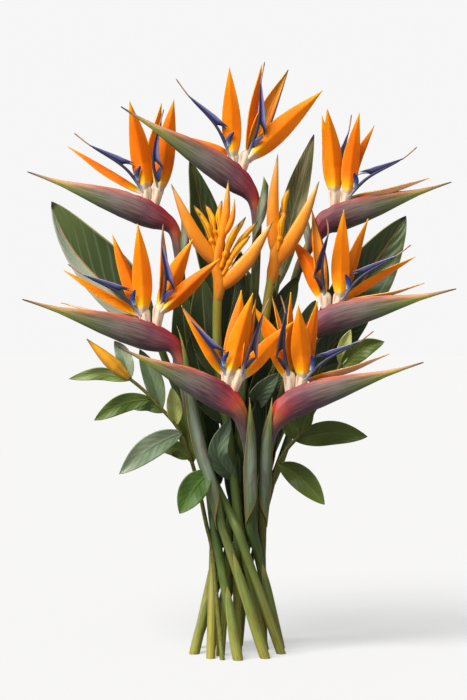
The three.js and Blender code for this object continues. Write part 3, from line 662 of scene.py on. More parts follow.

# Satin petal skin with fine lengthwise veins, paler along its edges and yellow at both ends, in bright
# orange, deep orange and faded peach. The paler edges are painted highlights, and a deeper colour over one
# half of the width is painted shade.
satin_sepals = [plant_skin("satin_orange_sepal_" + name,
    {0: "#ecd9b4", 0.07: "#f2cf8a", 0.11: "#fdc60c", 0.15: "#feb400", 0.2: "#fd9600", 0.27: middle,
        0.7: middle, 0.86: light, 0.95: "#ffb20a", 1: "#ffc41c"},
    # painted shade: the deep colour over one half; painted highlight: the paler edges
    zones=[("across", 0.5, 0.6, 0.5, deep), ("patch", 0.5, 0.68, 0.5, light),
        ("patch", 0.42, 0.3, 0.4, deep), ("off", 0.43, 0.49, 0.5, "#ffb638"),
        ("streak", 0.58, 0.72, 0.4, "#ffb23a"), ("streak", 0.42, 0.3, 0.3, "#ea6800"),
        ("along", 0.13, 0.06, 0.7, "#eddcc0")], streaks=(34, 1.3), patches=(2.4, 2.2), coat=0.0,
    soft=0.12, gleam=0.22, relief=0.3)
    for name, middle, light, deep in (("bright", "#fe8400", "#ff9c08", "#f26c00"),
        ("deep", "#f67400", "#fc8a05", "#de5c00"), ("faded", "#f6bc88", "#fad4ae", "#e09a68"))]

# Withered sepal: dull and rough, orange-yellow with red-orange patches and red-brown streaks,
# and one edge dried to a dark brown line.
withered_sepal = plant_skin("withered_sepal",
    {0: "#f0c060", 0.15: "#fcaa1c", 0.6: "#f49014", 0.9: "#dc9c2c", 1: "#4a2a1a"},
    zones=[("patch", 0.48, 0.6, 0.6, "#e86c10"), ("streak", 0.46, 0.36, 0.7, "#8a3a12"),
        ("across", 0.86, 0.96, 0.95, "#40201a")], streaks=(16, 1.6), roughness=0.6, coat=0.0, relief=0.8)

# Fleshy column: translucent cream with rose streaks, red in the slit and yellow at the top.
fleshy_column = plant_skin("fleshy_column",
    {0: "#96242a", 0.12: "#b84a48", 0.3: "#dca48e", 0.55: "#ead0b4", 0.86: "#f0ddb8", 1: "#f6c448"},
    zones=[("streak", 0.5, 0.64, 0.75, "#c46a74"), ("streak", 0.44, 0.3, 0.5, "#fbf2e0"),
        ("patch", 0.42, 0.3, 0.6, "#c08a66")], streaks=(12, 1.5), soft=0.12, relief=0.5)


def spun(vector, axis, degrees):
    """The vector turned about an axis."""
    angle = math.radians(degrees)
    return vector * math.cos(angle) + np.cross(axis, vector) * math.sin(angle) \
        + axis * np.dot(axis, vector) * (1 - math.cos(angle))


def sepal(base, tip, width, turn, seed, dry, faded):
    """A cupped, softly waved petal that clasps the column with its foot. A low one bows down
    and a high one bows up."""
    base, tip = np.array(base, float), np.array(tip, float)
    rise = unit(tip - base)[2]
    route = Route([base, (base + tip) / 2 + UP * np.interp(rise, [0.3, 0.8], [-SEPAL_BOW, SEPAL_BOW]), tip])
    clasp = CLASP if tip[1] < base[1] else -CLASP
    facing = spun(TO_VIEWER, unit(tip - base), turn + np.interp(rise, [0.3, 0.8], [12, 0]))
    chance = random.Random(seed)
    wave, sway, boat = chance.uniform(0, 6.28), chance.uniform(-1, 1), chance.uniform(-0.55, 0.1)
    boat = DRY_CURL if dry else boat
    width = width * (FADED_WIDTH if faded else 1.0)
    skin = withered_sepal if dry else satin_sepals[2 if faded else chance.random() < DEEP_SHARE]

    def shape(u, v):
        s = 2 * u - 1
        swell = np.sin(np.pi * np.clip(v, 0, 1))
        outline = np.maximum(v ** 0.7 * (1 - v) ** 1.2 / SEPAL_PEAK, 0.38 * (1 - v))
        half = 0.5 * width * (outline + 0.012)
        ripple = 0.5 * np.sin(9 * v + wave) * s ** 2 * swell
        crease = 0.16 * half * (1 - np.abs(s))
        outwards = boat * half * np.abs(s) ** 1.5 + ripple + crease
        sideways = s * half * math.cos(0.5 * boat) + 2 * sway * swell
        places = route.beside(v * route.length, sideways, outwards, facing)
        held = clasp * np.interp(v, [0, 0.1, 0.32], [0.45, 1, 0]) * (1 - 0.5 * s * s)
        return places + TO_VIEWER * held[:, None], u, v
    return thicken(laid("sepal", 18, 40, shape, skin), SEPAL_THICK)


def column(flower, floret):
    """The fleshy column of a floret, fanned out across the view and ribbed like its sepals."""
    root = np.add(flower["throat"], floret["root"]) - UP * COLUMN_DEPTH
    top = np.add(flower["throat"], floret["top"])

    def radius_at(t):
        return COLUMN_RADIUS * np.interp(t, [0, 0.4, 0.8, 0.93, 1.0], [0.72, 0.76, 0.86, 0.7, 0.2])
    return tube("column", [root, (root + top) / 2, top], radius_at, fleshy_column, columns=24, rows=18,
                wide=1.6, lobes=(5, 0.06))


for flower_number, flower in enumerate(FLOWERS):
    shapes = []
    for floret_number, floret in enumerate(flower["florets"]):
        shapes.append(column(flower, floret))
        top = np.add(flower["throat"], floret["top"])
        for number, (dx, dy, dz, width, *turn) in enumerate(floret["sepals"]):
            dry, faded = (number in floret.get(state, ()) for state in ("dry", "faded"))
            seed = flower_number * 100 + floret_number * 10 + number
            shapes.append(sepal(top - UP * SEPAL_ROOT, top + [dx, dy, dz], width, turn[0] if turn else 0,
                                seed, dry, faded))
    grown(joined(flower["name"] + "_bloom_piece", shapes), "sepal_orange", flower["name"] + "_sepals")


# Blue arrows: two long petals grown together into a grooved shaft, each with a wing on its
# upper side that ends in a barb; the tan style runs out beyond the point. A small boat-shaped
# third petal stands where the shaft leaves the column, bright blue on the first floret, deep
# indigo on the second and plum on an old one.

SHAFT_SHARE = 0.8
STYLE_OVERLAP = 0.03
WING_START = 0.38
BARB_LENGTH = 9.0
BARB_SHARE = 0.22
PETAL_THICK = 0.8
THIRD_PETAL = (17.0, 5.0)
THIRD_PETAL_AT = 0.14
FIRST_LEAN = 0.95
SECOND_LEAN = 0.4

# Satin petal: deep indigo, lavender on the rolled upper margin and near black at the barbs. The lavender
# and its paler edge are partly painted sheen.
indigo_petal = plant_skin("satin_indigo_petal",
    {0: "#171c48", 0.15: "#202b68", 0.4: "#2e356e", 0.75: "#2c3058", 1: "#262a4c"},
    # lavender margin and pale edge: partly its own colour, partly painted sheen
    zones=[("across", 0.4, 0.7, 0.85, "#8a84b8"), ("across", 0.9, 1.0, 0.6, "#b8aed2"),
        ("streak", 0.47, 0.3, 0.6, "#10153a"), ("length", 0.12, 0.02, 0.9, "#161c4a")], streaks=(10, 2),
    roughness=0.36, gleam=0.5, relief=0.3)

# The same petal on an old floret: plum brown and dull.
plum_petal = plant_skin("old_plum_petal", {0: "#2a1a28", 0.4: "#46303e", 1: "#3c2a2c"},
    zones=[("across", 0.6, 0.9, 0.6, "#8a6a7c"), ("streak", 0.47, 0.3, 0.6, "#1e1420")], streaks=(10, 2),
    roughness=0.5)

# Grooved shaft: dark violet-grey with pale streaks, white where it leaves the column.
violet_shaft = plant_skin("grooved_violet_shaft",
    {0: "#d9dbe0", 0.1: "#8d90a8", 0.25: "#413f54", 0.8: "#2c2e4c", 1: "#1d2148"},
    zones=[("off", 0.08, 0.0, 0.85, "#17172a"), ("streak", 0.55, 0.68, 0.6, "#8c8ea0")], streaks=(8, 1.2),
    roughness=0.4)

# Third petal: bright blue with pale streaks and a dark fold, white at its foot. The pale streaks are
# painted sheen.
bright_petal = plant_skin("bright_blue_petal",
    {0: "#dfe3ea", 0.18: "#8fa6d0", 0.36: "#35528f", 0.6: "#233270", 1: "#182048"},
    # painted sheen: the pale streaks
    zones=[("off", 0.14, 0.0, 0.6, "#18234f"), ("streak", 0.55, 0.68, 0.4, "#7f98cc")], streaks=(12, 1.5),
    roughness=0.38)

# Style: a dry tan-pink thread with a brown end.
dry_style = plant_skin("dry_tan_style", {0: "#6a4a5c", 0.15: "#b58a84", 0.75: "#b98a70", 1: "#4a2c20"},
    streaks=(6, 3), roughness=0.6, coat=0.0)


def arrow(flower, floret):
    """The shaft with its style, its two wings and its third petal. The wings stand on the side
    away from the beak."""
    top = np.add(flower["throat"], floret["top"])
    route = Route([np.add(top, point) for point in floret["arrow"]])
    upper = 1 if flower["tip"][0] < flower["throat"][0] else -1
    shaft = route.at(np.linspace(0, SHAFT_SHARE, 12) * route.length)[0]
    style = route.at(np.linspace(SHAFT_SHARE - STYLE_OVERLAP, 1, 6) * route.length)[0]
    second = floret is flower["florets"][1]
    wing_skin, third_skin = indigo_petal, indigo_petal if second else bright_petal
    if "old" in floret:
        wing_skin, third_skin = plum_petal, plum_petal
    shapes = [
        tube("shaft", shaft, lambda t: np.interp(t, [0, 0.3, 0.6, 0.85, 1], [2.5, 2.3, 1.7, 1.2, 0.5]),
             violet_shaft, rows=40, lobes=(2, 0.22)),
        tube("style", style, lambda t: np.interp(t, [0, 0.9, 1], [0.85, 0.75, 0.3]), dry_style,
             columns=8, rows=16),
    ]
    for hand, tall in ((1, 1.0), (-1, 0.86)):
        def wing(u, v, hand=hand, tall=tall):
            back = BARB_LENGTH * np.clip(1 - v / BARB_SHARE, 0, 1) ** 1.6 * u ** 2.2
            share = WING_START + (SHAFT_SHARE - WING_START) * v
            distance = share * route.length - back * (1.1 - 0.15 * hand)
            high = np.interp(v, [0, 0.1, 0.3, 0.6, 0.85, 1], [9.2, 7.6, 5.6, 3.5, 1.7, 0.2]) * tall
            curl = 1.6 * np.clip(1 - v / 0.12, 0, 1) * u ** 2
            apart = hand * (0.4 + 2.8 * u ** 1.3 * (1 - v) ** 0.6)
            return route.beside(distance, upper * (u * high + curl), apart), u, v
        shapes.append(thicken(laid("wing", 10, 44, wing, wing_skin), PETAL_THICK))
    start, way, across, out = (part[0] for part in route.at(np.array([THIRD_PETAL_AT * route.length])))
    length, width = THIRD_PETAL
    lean = SECOND_LEAN if second else FIRST_LEAN
    foot = start + out * 2.6 + across * upper * 2.0
    petal = Route([foot, foot + unit(way + 0.5 * lean * upper * across) * length * 0.5 + out,
                   foot + unit(way + lean * upper * across) * length])

    def boat(u, v):
        s = 2 * u - 1
        half = 0.5 * width * (np.maximum(v ** 0.6 * (1 - v) ** 0.7 / 0.41, 0.4 * (1 - v)) + 0.02)
        return petal.beside(v * petal.length, s * half, -0.5 * half * s ** 2), u, v
    shapes.append(thicken(laid("third_petal", 10, 18, boat, third_skin), PETAL_THICK))
    return shapes


for flower in FLOWERS:
    for number, floret in enumerate(flower["florets"], 1):
        name = flower["name"] + "_arrow_" + str(number)
        grown(joined(name + "_piece", arrow(flower, floret)), "petal_blue", name)


# Heliconias: a yellow-green stalk with its own leaves swells into an orange head of folded, waxy
# boat-shaped bracts with brown keels, partly painted shade; slender striped florets stand up out of them.

HELICONIAS = [
    dict(name="left", ring=INNER_RING, degrees=306,
        stalk=[(-4, -13, 190), (-12, -17, 255), (-19, -20, 298), (-22, -22, 340), (-22, -21, 380),
            (-20, -20, 402)],
        axis=[(-21.8, -20.8, 383), (-19.6, -20, 404), (-23, -20, 424), (-21, -20, 440), (-18, -20, 451),
            (-15, -20, 466)],
        bracts=[((-21, -20, 398), (8, -24, 427), (38, -26, 470), 22, (-0.6, 0, 0.8)),
            ((-22, -20, 424), (-45, -24, 456), (-72, -26, 511), 20, (0.6, 0, 0.8)),
            ((-19, -20, 446), (-13, -20, 483), (-10, -20, 516), 13, (-1, 0, 0)),
            ((-15, -20, 456), (-7, -24, 472), (-3, -26, 495), 9, (-1, 0, 0))],
        florets=[((-24, -20, 440), (-48, -12, 489)), ((-22, -20, 445), (-35, -12, 490)),
            ((-20, -20, 445), (-17, -14, 494)), ((-19, -20, 418), (9, -16, 476)),
            ((-18, -20, 415), (22, -18, 471)), ((-24, -22, 436), (-42, -24, 480)),
            ((-18, -24, 420), (2, -30, 468)), ((-16, -24, 412), (14, -28, 455))],
        leaves=[((-21, -20, 300), (-34, -4, 345), (-40, 6, 412), 34),
            ((-19, -18, 310), (-8, 0, 370), (4, 6, 440), 30),
            ((-12, -17, 250), (-38, -12, 298), (-50, -4, 350), 34),
            ((-4, -13, 190), (-21, -34, 220), (-8, -40, 257), 22)]),
    dict(name="right", ring=INNER_RING, degrees=162,
        stalk=[(-2, 16, 190), (12, 18, 254), (22, 10, 298), (28, 0, 342), (33, -6, 386), (38, -9, 414)],
        axis=[(36.1, -7.7, 402), (39, -8, 418), (41, -8, 430), (42, -8, 440), (44, -8, 457),
            (50, -8, 473)],
        bracts=[((40, -8, 424), (65, -12, 464), (89, -16, 515), 21, (-0.6, 0, 0.8)),
            ((41, -8, 436), (40, -10, 490), (44, -10, 545), 18, (1, 0, 0))],
        florets=[((48, -8, 466), (57, -8, 508)), ((44, -12, 440), (53, -16, 482))],
        leaves=[((27, 2, 335), (48, 6, 375), (66, 12, 412), 26),
            ((16, 15, 268), (36, 6, 305), (46, 8, 360), 34),
            ((16, 15, 268), (29, -16, 288), (45, -28, 306), 22)])]

# Waxy bract: bright orange along its open lips, browner down to the keel, with a pale end and a dark dried
# point. Its brighter lips are partly painted light and its browner keel partly painted shade.
waxy_bract = plant_skin("waxy_orange_bract",
    {0: "#ee860a", 0.2: "#f68c0e", 0.6: "#f8961a", 0.84: "#f2aa54", 0.91: "#d8b070", 0.955: "#7c7e3a",
        1: "#28301c"},
    # over its own colour: painted shade towards the keel, painted light towards the lips
    zones=[("across", 0.5, 0.85, 0.6, "#c47434"), ("across", 0.3, 0.12, 0.6, "#fba414"),
        ("across", 0.07, 0.02, 0.6, "#d8660c"), ("patch", 0.52, 0.7, 0.4, "#f7b24a"),
        ("streak", 0.45, 0.3, 0.35, "#c86a10")], streaks=(26, 2), patches=(3, 3), roughness=0.36,
    coat=0.2, soft=0.08, relief=0.3)

# Swollen rachis: yellow-green where it leaves the stalk, then waxy orange.
waxy_rachis = plant_skin("waxy_rachis",
    {0: "#a88a30", 0.06: "#c4882a", 0.16: "#e0861c", 0.5: "#ec8812", 1: "#f0941e"},
    zones=[("patch", 0.52, 0.7, 0.4, "#f2a83e"), ("streak", 0.45, 0.3, 0.5, "#b4620e")], streaks=(14, 3),
    roughness=0.38, coat=0.15, soft=0.06)

# Floret: fleshy and yellow-orange, with a dark olive stripe that narrows from its point.
striped_floret = plant_skin("striped_floret",
    {0: "#e8920e", 0.3: "#f4a012", 0.7: "#fcb41c", 0.9: "#d89c2a", 0.965: "#5a5228", 1: "#2c3420"},
    zones=[("streak", 0.54, 0.6, 0.85, {0: "#c47a10", 0.55: "#a86e18", 0.8: "#4e4418", 1: "#2c3420"}),
        ("streak", 0.45, 0.38, 0.5, "#d07a0c"), ("along", 0.36, 0.3, 1.0, "#ee980e")], streaks=(9, 0.7),
    roughness=0.4, gleam=0.25, soft=0.06)

# Smooth stalks: green with dark and pale streaks, and lime at the foot. One is straw yellow
# low down, and the heliconias' turn yellow under the head.
STALK_ZONES = [("height", 0.19, 0.04, 0.5, "#878a3a"), ("height", 0.1, 0.01, 0.5, "#b0a848"),
    ("streak", 0.48, 0.3, 0.75, "#323e1a"), ("streak", 0.56, 0.7, 0.4, "#a6ac62"),
    ("patch", 0.44, 0.3, 0.6, "#6a5428", "MULTIPLY"), ("patch", 0.52, 0.7, 0.3, "#8a9a78")]
green_stalk, straw_stalk, heliconia_stalk = [plant_skin(name,
    {0: "#667436", 0.25: "#586a34", 0.6: "#5c6e38", 1: "#6c7438"}, zones=STALK_ZONES + more,
    streaks=(18, 2), patches=(2, 9))
    for name, more in (("smooth_green_stalk", []),
        ("smooth_straw_stalk", [("height", 0.16, 0.06, 0.4, "#a8963e")]),
        ("heliconia_stalk", [("height", 0.32, 0.375, 0.95, "#a89c3c")]))]


BRACT_ROWS = 46
BRACT_THICK = 13
BRACT_SLIT = 6


def bract(base, middle, tip, width, facing):
    """A boat with its slit on the facing side, deepest at its foot and drawn out to a point."""
    route = Route([base, middle, tip])

    def shape(u, v):
        t, ends = closed_ends(v, BRACT_ROWS)
        outline = np.maximum(t ** 0.4 * (1 - t) / 0.548, 0.45 * (1 - t)) + 0.03
        angle = 2 * np.pi * u - 0.6 * np.sin(2 * np.pi * u)
        from_top = np.minimum(angle, 2 * np.pi - angle)
        agape = np.sin(np.pi * t) ** 0.7
        high = 0.5 * width * outline * np.cos(angle) * np.where(np.cos(angle) < 0, 1.12, 0.9)
        high = high - BRACT_SLIT * agape * outline * np.exp(-(from_top / 0.24) ** 2)
        wide = 0.5 * (BRACT_THICK * outline ** 0.8) * np.sin(angle) * (1 - 0.2 * np.cos(angle))
        return route.beside(t * route.length, wide * ends, high * ends, unit(facing)), from_top / np.pi, t
    return laid("bract", 36, BRACT_ROWS, shape, waxy_bract, closed=True)


def heliconia_floret(base, tip):
    """A short pedicel with a swollen joint, then a slender pointed tube."""
    base, tip = np.array(base, float), np.array(tip, float)
    joint = base + (tip - base) * 0.3 + UP * 4

    def radius_at(t):
        return np.interp(t, [0, 0.22, 0.27, 0.31, 0.36, 0.6, 0.85, 0.96, 1],
                         [2.2, 2.2, 3.5, 3.5, 2.4, 3.5, 2.6, 1.1, 0.3])
    bow = np.array([2.5 if tip[0] > base[0] else -2.5, 0, 1.0])
    return tube("floret", [base, joint, (joint + tip) / 2 - bow, tip], radius_at, striped_floret,
                rows=44, lobes=(3, 0.08))


BROAD_LEAF = 24
STALK_CUTS = dict(columns=18, rows=70, span=480)
MIDDLE_CREASE = (0.5, 0.5)


def leaf_blade(points, width, facing, fold, rise, fall, skins, seed, thickness=0.8, cuts=(18, 44),
               base=0.06, wave_height=1.6, ridges=(0, 0.0), crease=MIDDLE_CREASE):
    """A thin blade folded along its midrib, with a waved margin and raised side veins. Rise and
    fall shape its outline towards foot and tip, ridges gives the number and height of its side
    veins, and crease gives the midrib's share of the width at the foot and at the tip."""
    route = Route(points)
    phase = random.Random(seed).uniform(0, 6.28)
    peak_at = rise / (rise + fall)
    peak = peak_at ** rise * (1 - peak_at) ** fall

    def shape(u, v):
        s = 2 * u - 1
        rib_at = crease[0] + (crease[1] - crease[0]) * v
        from_rib = np.where(u < rib_at, (u - rib_at) / rib_at, (u - rib_at) / (1 - rib_at))
        half = 0.5 * width * (np.maximum(v ** rise * (1 - v) ** fall / peak, base * (1 - v)) + 0.006)
        ripple = wave_height * np.sin(11 * v + phase + 1.2 * s) * np.abs(s) ** 1.5 * np.sin(np.pi * v)
        rib = 1.1 * np.exp(-(from_rib / 0.05) ** 2) * (1 - v)
        slanting = np.sin(ridges[0] * math.tau * (v - 0.4 * np.abs(from_rib) ** 0.8))
        raised = ridges[1] * slanting * np.abs(from_rib) * (1 - from_rib ** 2)
        cosine = 1 / math.sqrt(1 + 0.35 * fold * fold)
        outwards = fold * np.abs(from_rib) ** 1.15 * half + ripple + rib + raised
        return route.beside(v * route.length, s * half * cosine, outwards, facing), 0.5 + 0.5 * from_rib, v
    return thicken(laid("leaf_blade", cuts[0], cuts[1], shape, skins[0]), thickness, skins[1])


# Leathery leaf faces: dark glossy green above and pale matt grey-green beneath, with side veins that leave
# the midrib at a slant and curve forward. Narrow ones have a grey-green face, with one half painted lighter
# as if it caught the light.
dark_leaf = plant_skin("dark_leaf_face", {0: "#26351a", 0.5: "#22331a", 1: "#3c4a24"},
    zones=[("patch", 0.5, 0.7, 0.5, "#394a26"), ("vein", 0.2, 1.0, 0.25, "#40522e"),
        ("off", 0.03, 0.01, 0.7, "#7a7440"), ("off", 0.47, 0.495, 0.6, "#7a6c34")], streaks=(20, 2),
    veins=(22, 0.5, 0.05), coat=0.1)
pale_leaf = plant_skin("pale_leaf_back", {0: "#66744f", 0.5: "#6a7a5c", 1: "#76805a"},
    zones=[("patch", 0.5, 0.7, 0.5, "#7f8e72"), ("vein", 0.5, 1.0, 0.25, "#88987a"),
        ("off", 0.035, 0.01, 0.8, "#979658"), ("off", 0.47, 0.495, 0.6, "#96884a")],
    veins=(40, 0.5, 0.03), roughness=0.55, coat=0.0)
grey_leaf = plant_skin("grey_green_leaf_face", {0: "#52643e", 0.5: "#50664a", 1: "#64775a"},
    # painted light: one half of the face lighter than the other
    zones=[("across", 0.49, 0.53, 0.5, "#76896c"), ("patch", 0.5, 0.68, 0.4, "#6c8062"),
        ("vein", 0.3, 1.0, 0.2, "#7e9276"), ("off", 0.02, 0.006, 0.7, "#94a07a"),
        ("off", 0.475, 0.492, 0.6, "#94a07a")], streaks=(16, 2), patches=(3, 4), veins=(7, 0.5, 0.08),
    roughness=0.5)

for plant in HELICONIAS:
    name = "heliconia_" + plant["name"]
    head = [tube("rachis", plant["axis"],
                 lambda t: np.interp(t, [0, 0.22, 0.6, 0.9, 1], [4.9, 6.8, 5.6, 4, 1.5]),
                 waxy_rachis, columns=20, rows=26)]
    head += [bract(*shape) for shape in plant["bracts"]]
    head += [heliconia_floret(*ends) for ends in plant["florets"]]
    grown(joined(name + "_head_piece", head), "bract_orange", name + "_head")
    stalk = cut_at_floor(tube("stalk", stem_path(plant, plant["stalk"]),
                              lambda t: np.full_like(t, STEM_RADIUS), heliconia_stalk, **STALK_CUTS))
    blades = [leaf_blade(points, width, TO_VIEWER, fold=0.35, rise=0.6, fall=0.75,
                         skins=[dark_leaf if width > BROAD_LEAF else grey_leaf, pale_leaf],
                         seed=40 + number)
              for number, (*points, width) in enumerate(plant["leaves"])]
    grown(joined(name + "_stalk_piece", [stalk] + blades), "stalk_green", name + "_stalk")


# Large leaves: leathery blades with a strong midrib and slanting side veins, each on a long round stalk
# that narrows towards the blade. The left one has its midrib off to one side, and the strip beside it is
# painted the pale colour of the underside.

LARGE_LEAVES = [
    dict(name="left", degrees=284, width=58, turn=-10, fold=0.45,
        stalk=[(-6, -20, 148), (-26, -13, 188), (-48, -5, 240), (-72, 1, 300), (-90, 8, 345),
            (-104, 10, 366)],
        blade=[(-96, 9, 354), (-129, 14, 401), (-172, 22, 449), (-208, 30, 497)]),
    dict(name="right", degrees=104, width=60, turn=10, fold=0.45,
        stalk=[(24, 26, 187), (46, 24, 235), (68, 22, 290), (88, 22, 335), (100, 22, 352)],
        blade=[(92, 22, 341), (125, 23, 387), (164, 28, 444), (189, 34, 481)]),
    dict(name="back_left", degrees=176, width=40, turn=25, fold=0.4,
        stalk=[(-26, 22, 221), (-25, 32, 300), (-26, 39, 370), (-27, 41, 400)],
        blade=[(-24, 40, 388), (-33, 46, 444), (-43, 50, 501), (-54, 52, 547)]),
    dict(name="back_right", ring=INNER_RING, degrees=90, width=31, turn=-20, fold=0.4,
        stalk=[(12, 18, 200), (22, 26, 260), (27, 32, 320), (40, 38, 387), (46, 42, 415)],
        blade=[(42, 40, 400), (57, 48, 461), (73, 55, 524), (87, 58, 576)]),
    dict(name="low_right", degrees=68, width=40, turn=15, fold=0.4,
        stalk=[(44, 14, 198), (60, 8, 243), (76, 4, 281), (88, 3, 303)],
        blade=[(82, 4, 293), (98, 8, 324), (118, 9, 348), (147, 9, 370)])]

# Inner blades: narrow dark young leaves that fill the middle of the bunch, each on the stalk of the leaf
# behind it. Dark on both faces, they are partly leaves and partly a stand-in for the shade between the
# stalks.
INNER_BLADES = dict(
    back_left=[[(-30, 25, 238), (-38, 30, 320), (-54, 34, 412), 32],
        [(-10, 30, 240), (-18, 32, 330), (-32, 36, 436), 30],
        [(-22, 6, 180), (-34, 8, 240), (-42, 12, 318), 30],
        [(-36, 16, 240), (-54, 20, 320), (-64, 24, 404), 36],
        [(10, 0, 140), (0, 0, 185), (-8, 0, 240), 28]],
    back_right=[[(14, 22, 230), (22, 26, 320), (12, 30, 420), 32],
        [(24, 14, 230), (36, 18, 320), (40, 20, 402), 30],
        [(2, 8, 180), (0, 12, 250), (-6, 14, 330), 38]],
    low_right=[[(38, 4, 250), (64, 4, 322), (86, 6, 386), 38],
        [(24, 4, 178), (30, 4, 250), (54, 8, 330), 34]])

# Large leaf faces: dark and glossy, worn and dusty, or folded, with a band painted the pale colour of the
# underside. All three have a brown midrib, a pale margin and a dry dark tip. The dark glossy face has pale
# streaks of painted sheen.
LEAF_ENDS = [("along", 0.945, 0.972, 0.9, "#2c2018")]
large_leaf = plant_skin("large_leaf_face", {0: "#2f411c", 0.5: "#2a3c1a", 1: "#4c5a2c"},
    zones=[("patch", 0.5, 0.7, 0.4, "#374a22"), ("vein", 0.1, 1.0, 0.35, "#465a30"),
        ("off", 0.022, 0.012, 0.9, "#9a6434"), ("off", 0.478, 0.492, 0.9, "#8a8240"),
        # painted sheen: the pale streaks
        ("streak", 0.56, 0.7, 0.4, "#78865c")] + LEAF_ENDS, streaks=(14, 1.2), veins=(9, 0.42, 0.04),
    coat=0.1)
worn_leaf = plant_skin("worn_leaf_face", {0: "#3a421c", 0.4: "#50562c", 0.75: "#62643a", 1: "#66663c"},
    zones=[("patch", 0.48, 0.62, 0.75, "#9c9268"), ("vein", 0.0, 1.0, 0.35, "#7e8058"),
        ("off", 0.022, 0.012, 0.9, "#9a7a4c"), ("streak", 0.46, 0.32, 0.5, "#3e4424"),
        ("streak", 0.56, 0.68, 0.6, "#aaa080"), ("off", 0.478, 0.492, 0.9, "#8a8240")] + LEAF_ENDS,
    streaks=(24, 2), veins=(14, 0.42, 0.04), roughness=0.5)
folded_leaf = plant_skin("folded_leaf_face", {0: "#3a4a22", 0.5: "#3c4a24", 1: "#586434"},
    zones=[("patch", 0.5, 0.7, 0.4, "#36481e"),
        ("vein", 0.65, 1.0, 0.36,
            {0: "#48582c", 0.4: "#74866a", 0.7: "#6c7e5c", 0.85: "#3c4c20", 1: "#3c4c20"}),
        ("off", 0.478, 0.492, 0.9, "#8a8240"), ("across", 0.5, 0.49, 1.0, "#a0a890"),
        ("off", 0.022, 0.012, 0.9, "#b08a58")] + LEAF_ENDS, streaks=(14, 1.2), veins=(9, 0.6, 0.04),
    coat=0.1)

LEAF_FACES = {"left": folded_leaf, "back_right": worn_leaf}
LEAF_STALKS = {"back_left": straw_stalk}
LEAF_CREASES = {"left": (0.36, 0.12)}
STALK_TAPER = 1.6

for number, leaf in enumerate(LARGE_LEAVES):
    name = leaf["name"]
    spine = unit(np.subtract(leaf["blade"][-1], leaf["blade"][0]))
    petiole = cut_at_floor(tube("petiole", stem_path(leaf, leaf["stalk"]),
                                lambda t: STEM_RADIUS - STALK_TAPER * np.clip(t - 0.4, 0, 1),
                                LEAF_STALKS.get(name, green_stalk), **STALK_CUTS))
    blades = [leaf_blade(leaf["blade"], leaf["width"], spun(TO_VIEWER, spine, leaf["turn"]),
                         fold=leaf["fold"], rise=0.55, fall=0.85,
                         skins=[LEAF_FACES.get(name, large_leaf), pale_leaf], seed=number,
                         thickness=1.0, cuts=(30, 90), wave_height=2.0, ridges=(9, 0.5),
                         crease=LEAF_CREASES.get(name, MIDDLE_CREASE))]
    # inner blades, dark on both faces: partly leaves, partly a stand-in for shade between the stalks
    blades += [leaf_blade(points, width, TO_VIEWER, fold=0.3, rise=0.5, fall=0.7,
                          skins=[dark_leaf, dark_leaf], seed=60 + place)
               for place, (*points, width) in enumerate(INNER_BLADES.get(name, []))]
    grown(joined("leaf_" + name + "_piece", [petiole] + blades), "leaf_dark", "leaf_" + name)


# Leafy sprays: thin olive woody stems with short broad pointed leaves; the left one ends in
# a closed orange bud.

SPRAY_STEM_RADIUS = 2.8
SPRAY_LEAF_BOW = 6
SPRAYS = [
    dict(name="left", ring=LEFT_SPRAY_RING, degrees=197,
        stem=[(-34, -10, 140), (-42, -19, 180), (-49, -26, 208), (-57, -33, 232), (-67, -37, 251),
            (-83, -39, 269), (-100, -40, 287), (-122, -40, 305)],
        leaves=[((-114, -40, 299), (-181, -44, 300), 14, "light"),
            ((-115, -40, 300), (-133, -30, 341), 18, "grey"),
            ((-93, -40, 279), (-153, -52, 256), 20, "olive"),
            ((-81, -39, 268), (-106, -28, 332), 21, "dull"),
            ((-79, -38, 264), (-112, -35, 267), 13, "olive"),
            ((-66, -37, 250), (-71, -50, 291), 17, "lime"),
            ((-60, -36, 243), (-126, -56, 199), 26, "grey"),
            ((-51, -28, 214), (-84, -33, 223), 18, "dark"),
            ((-30, -34, 200), (-62, -48, 156), 30, "green"),
            ((-49, -26, 208), (-60, -12, 272), 22, "dark")]),
    dict(name="right", ring=SPRAY_RING, degrees=32,
        stem=[(33, 1, 160), (41, -9, 192), (46, -13, 210), (54, -14, 223), (66, -16, 237), (84, -18, 266),
            (106, -20, 304), (115, -20, 320)],
        leaves=[((62, -13, 233), (141, -24, 237), 27, "dark"),
            ((45, -13, 207), (94, -30, 164), 26, "dark"), ((68, -16, 240), (84, -24, 268), 17, "dark"),
            ((112, -20, 312), (159, -26, 340), 22, "dark"),
            ((112, -20, 314), (123, -24, 353), 15, "lime"),
            ((63, -15, 234), (47, -24, 257), 18, "dark")])]
BUD_BASE = np.array([-116.0, -40.0, 300.0])
BUD_TIP = np.array([-162.0, -42.0, 343.0])

# Young twig: olive brown bark with fine lengthwise lines.
olive_twig = plant_skin("olive_twig_bark", {0: "#7c8438", 1: "#5f5c22"},
    zones=[("streak", 0.55, 0.4, 0.7, "#42401a"), ("patch", 0.5, 0.7, 0.5, "#8a8c40")], streaks=(9, 12),
    patches=(2, 20), roughness=0.55, relief=0.5)

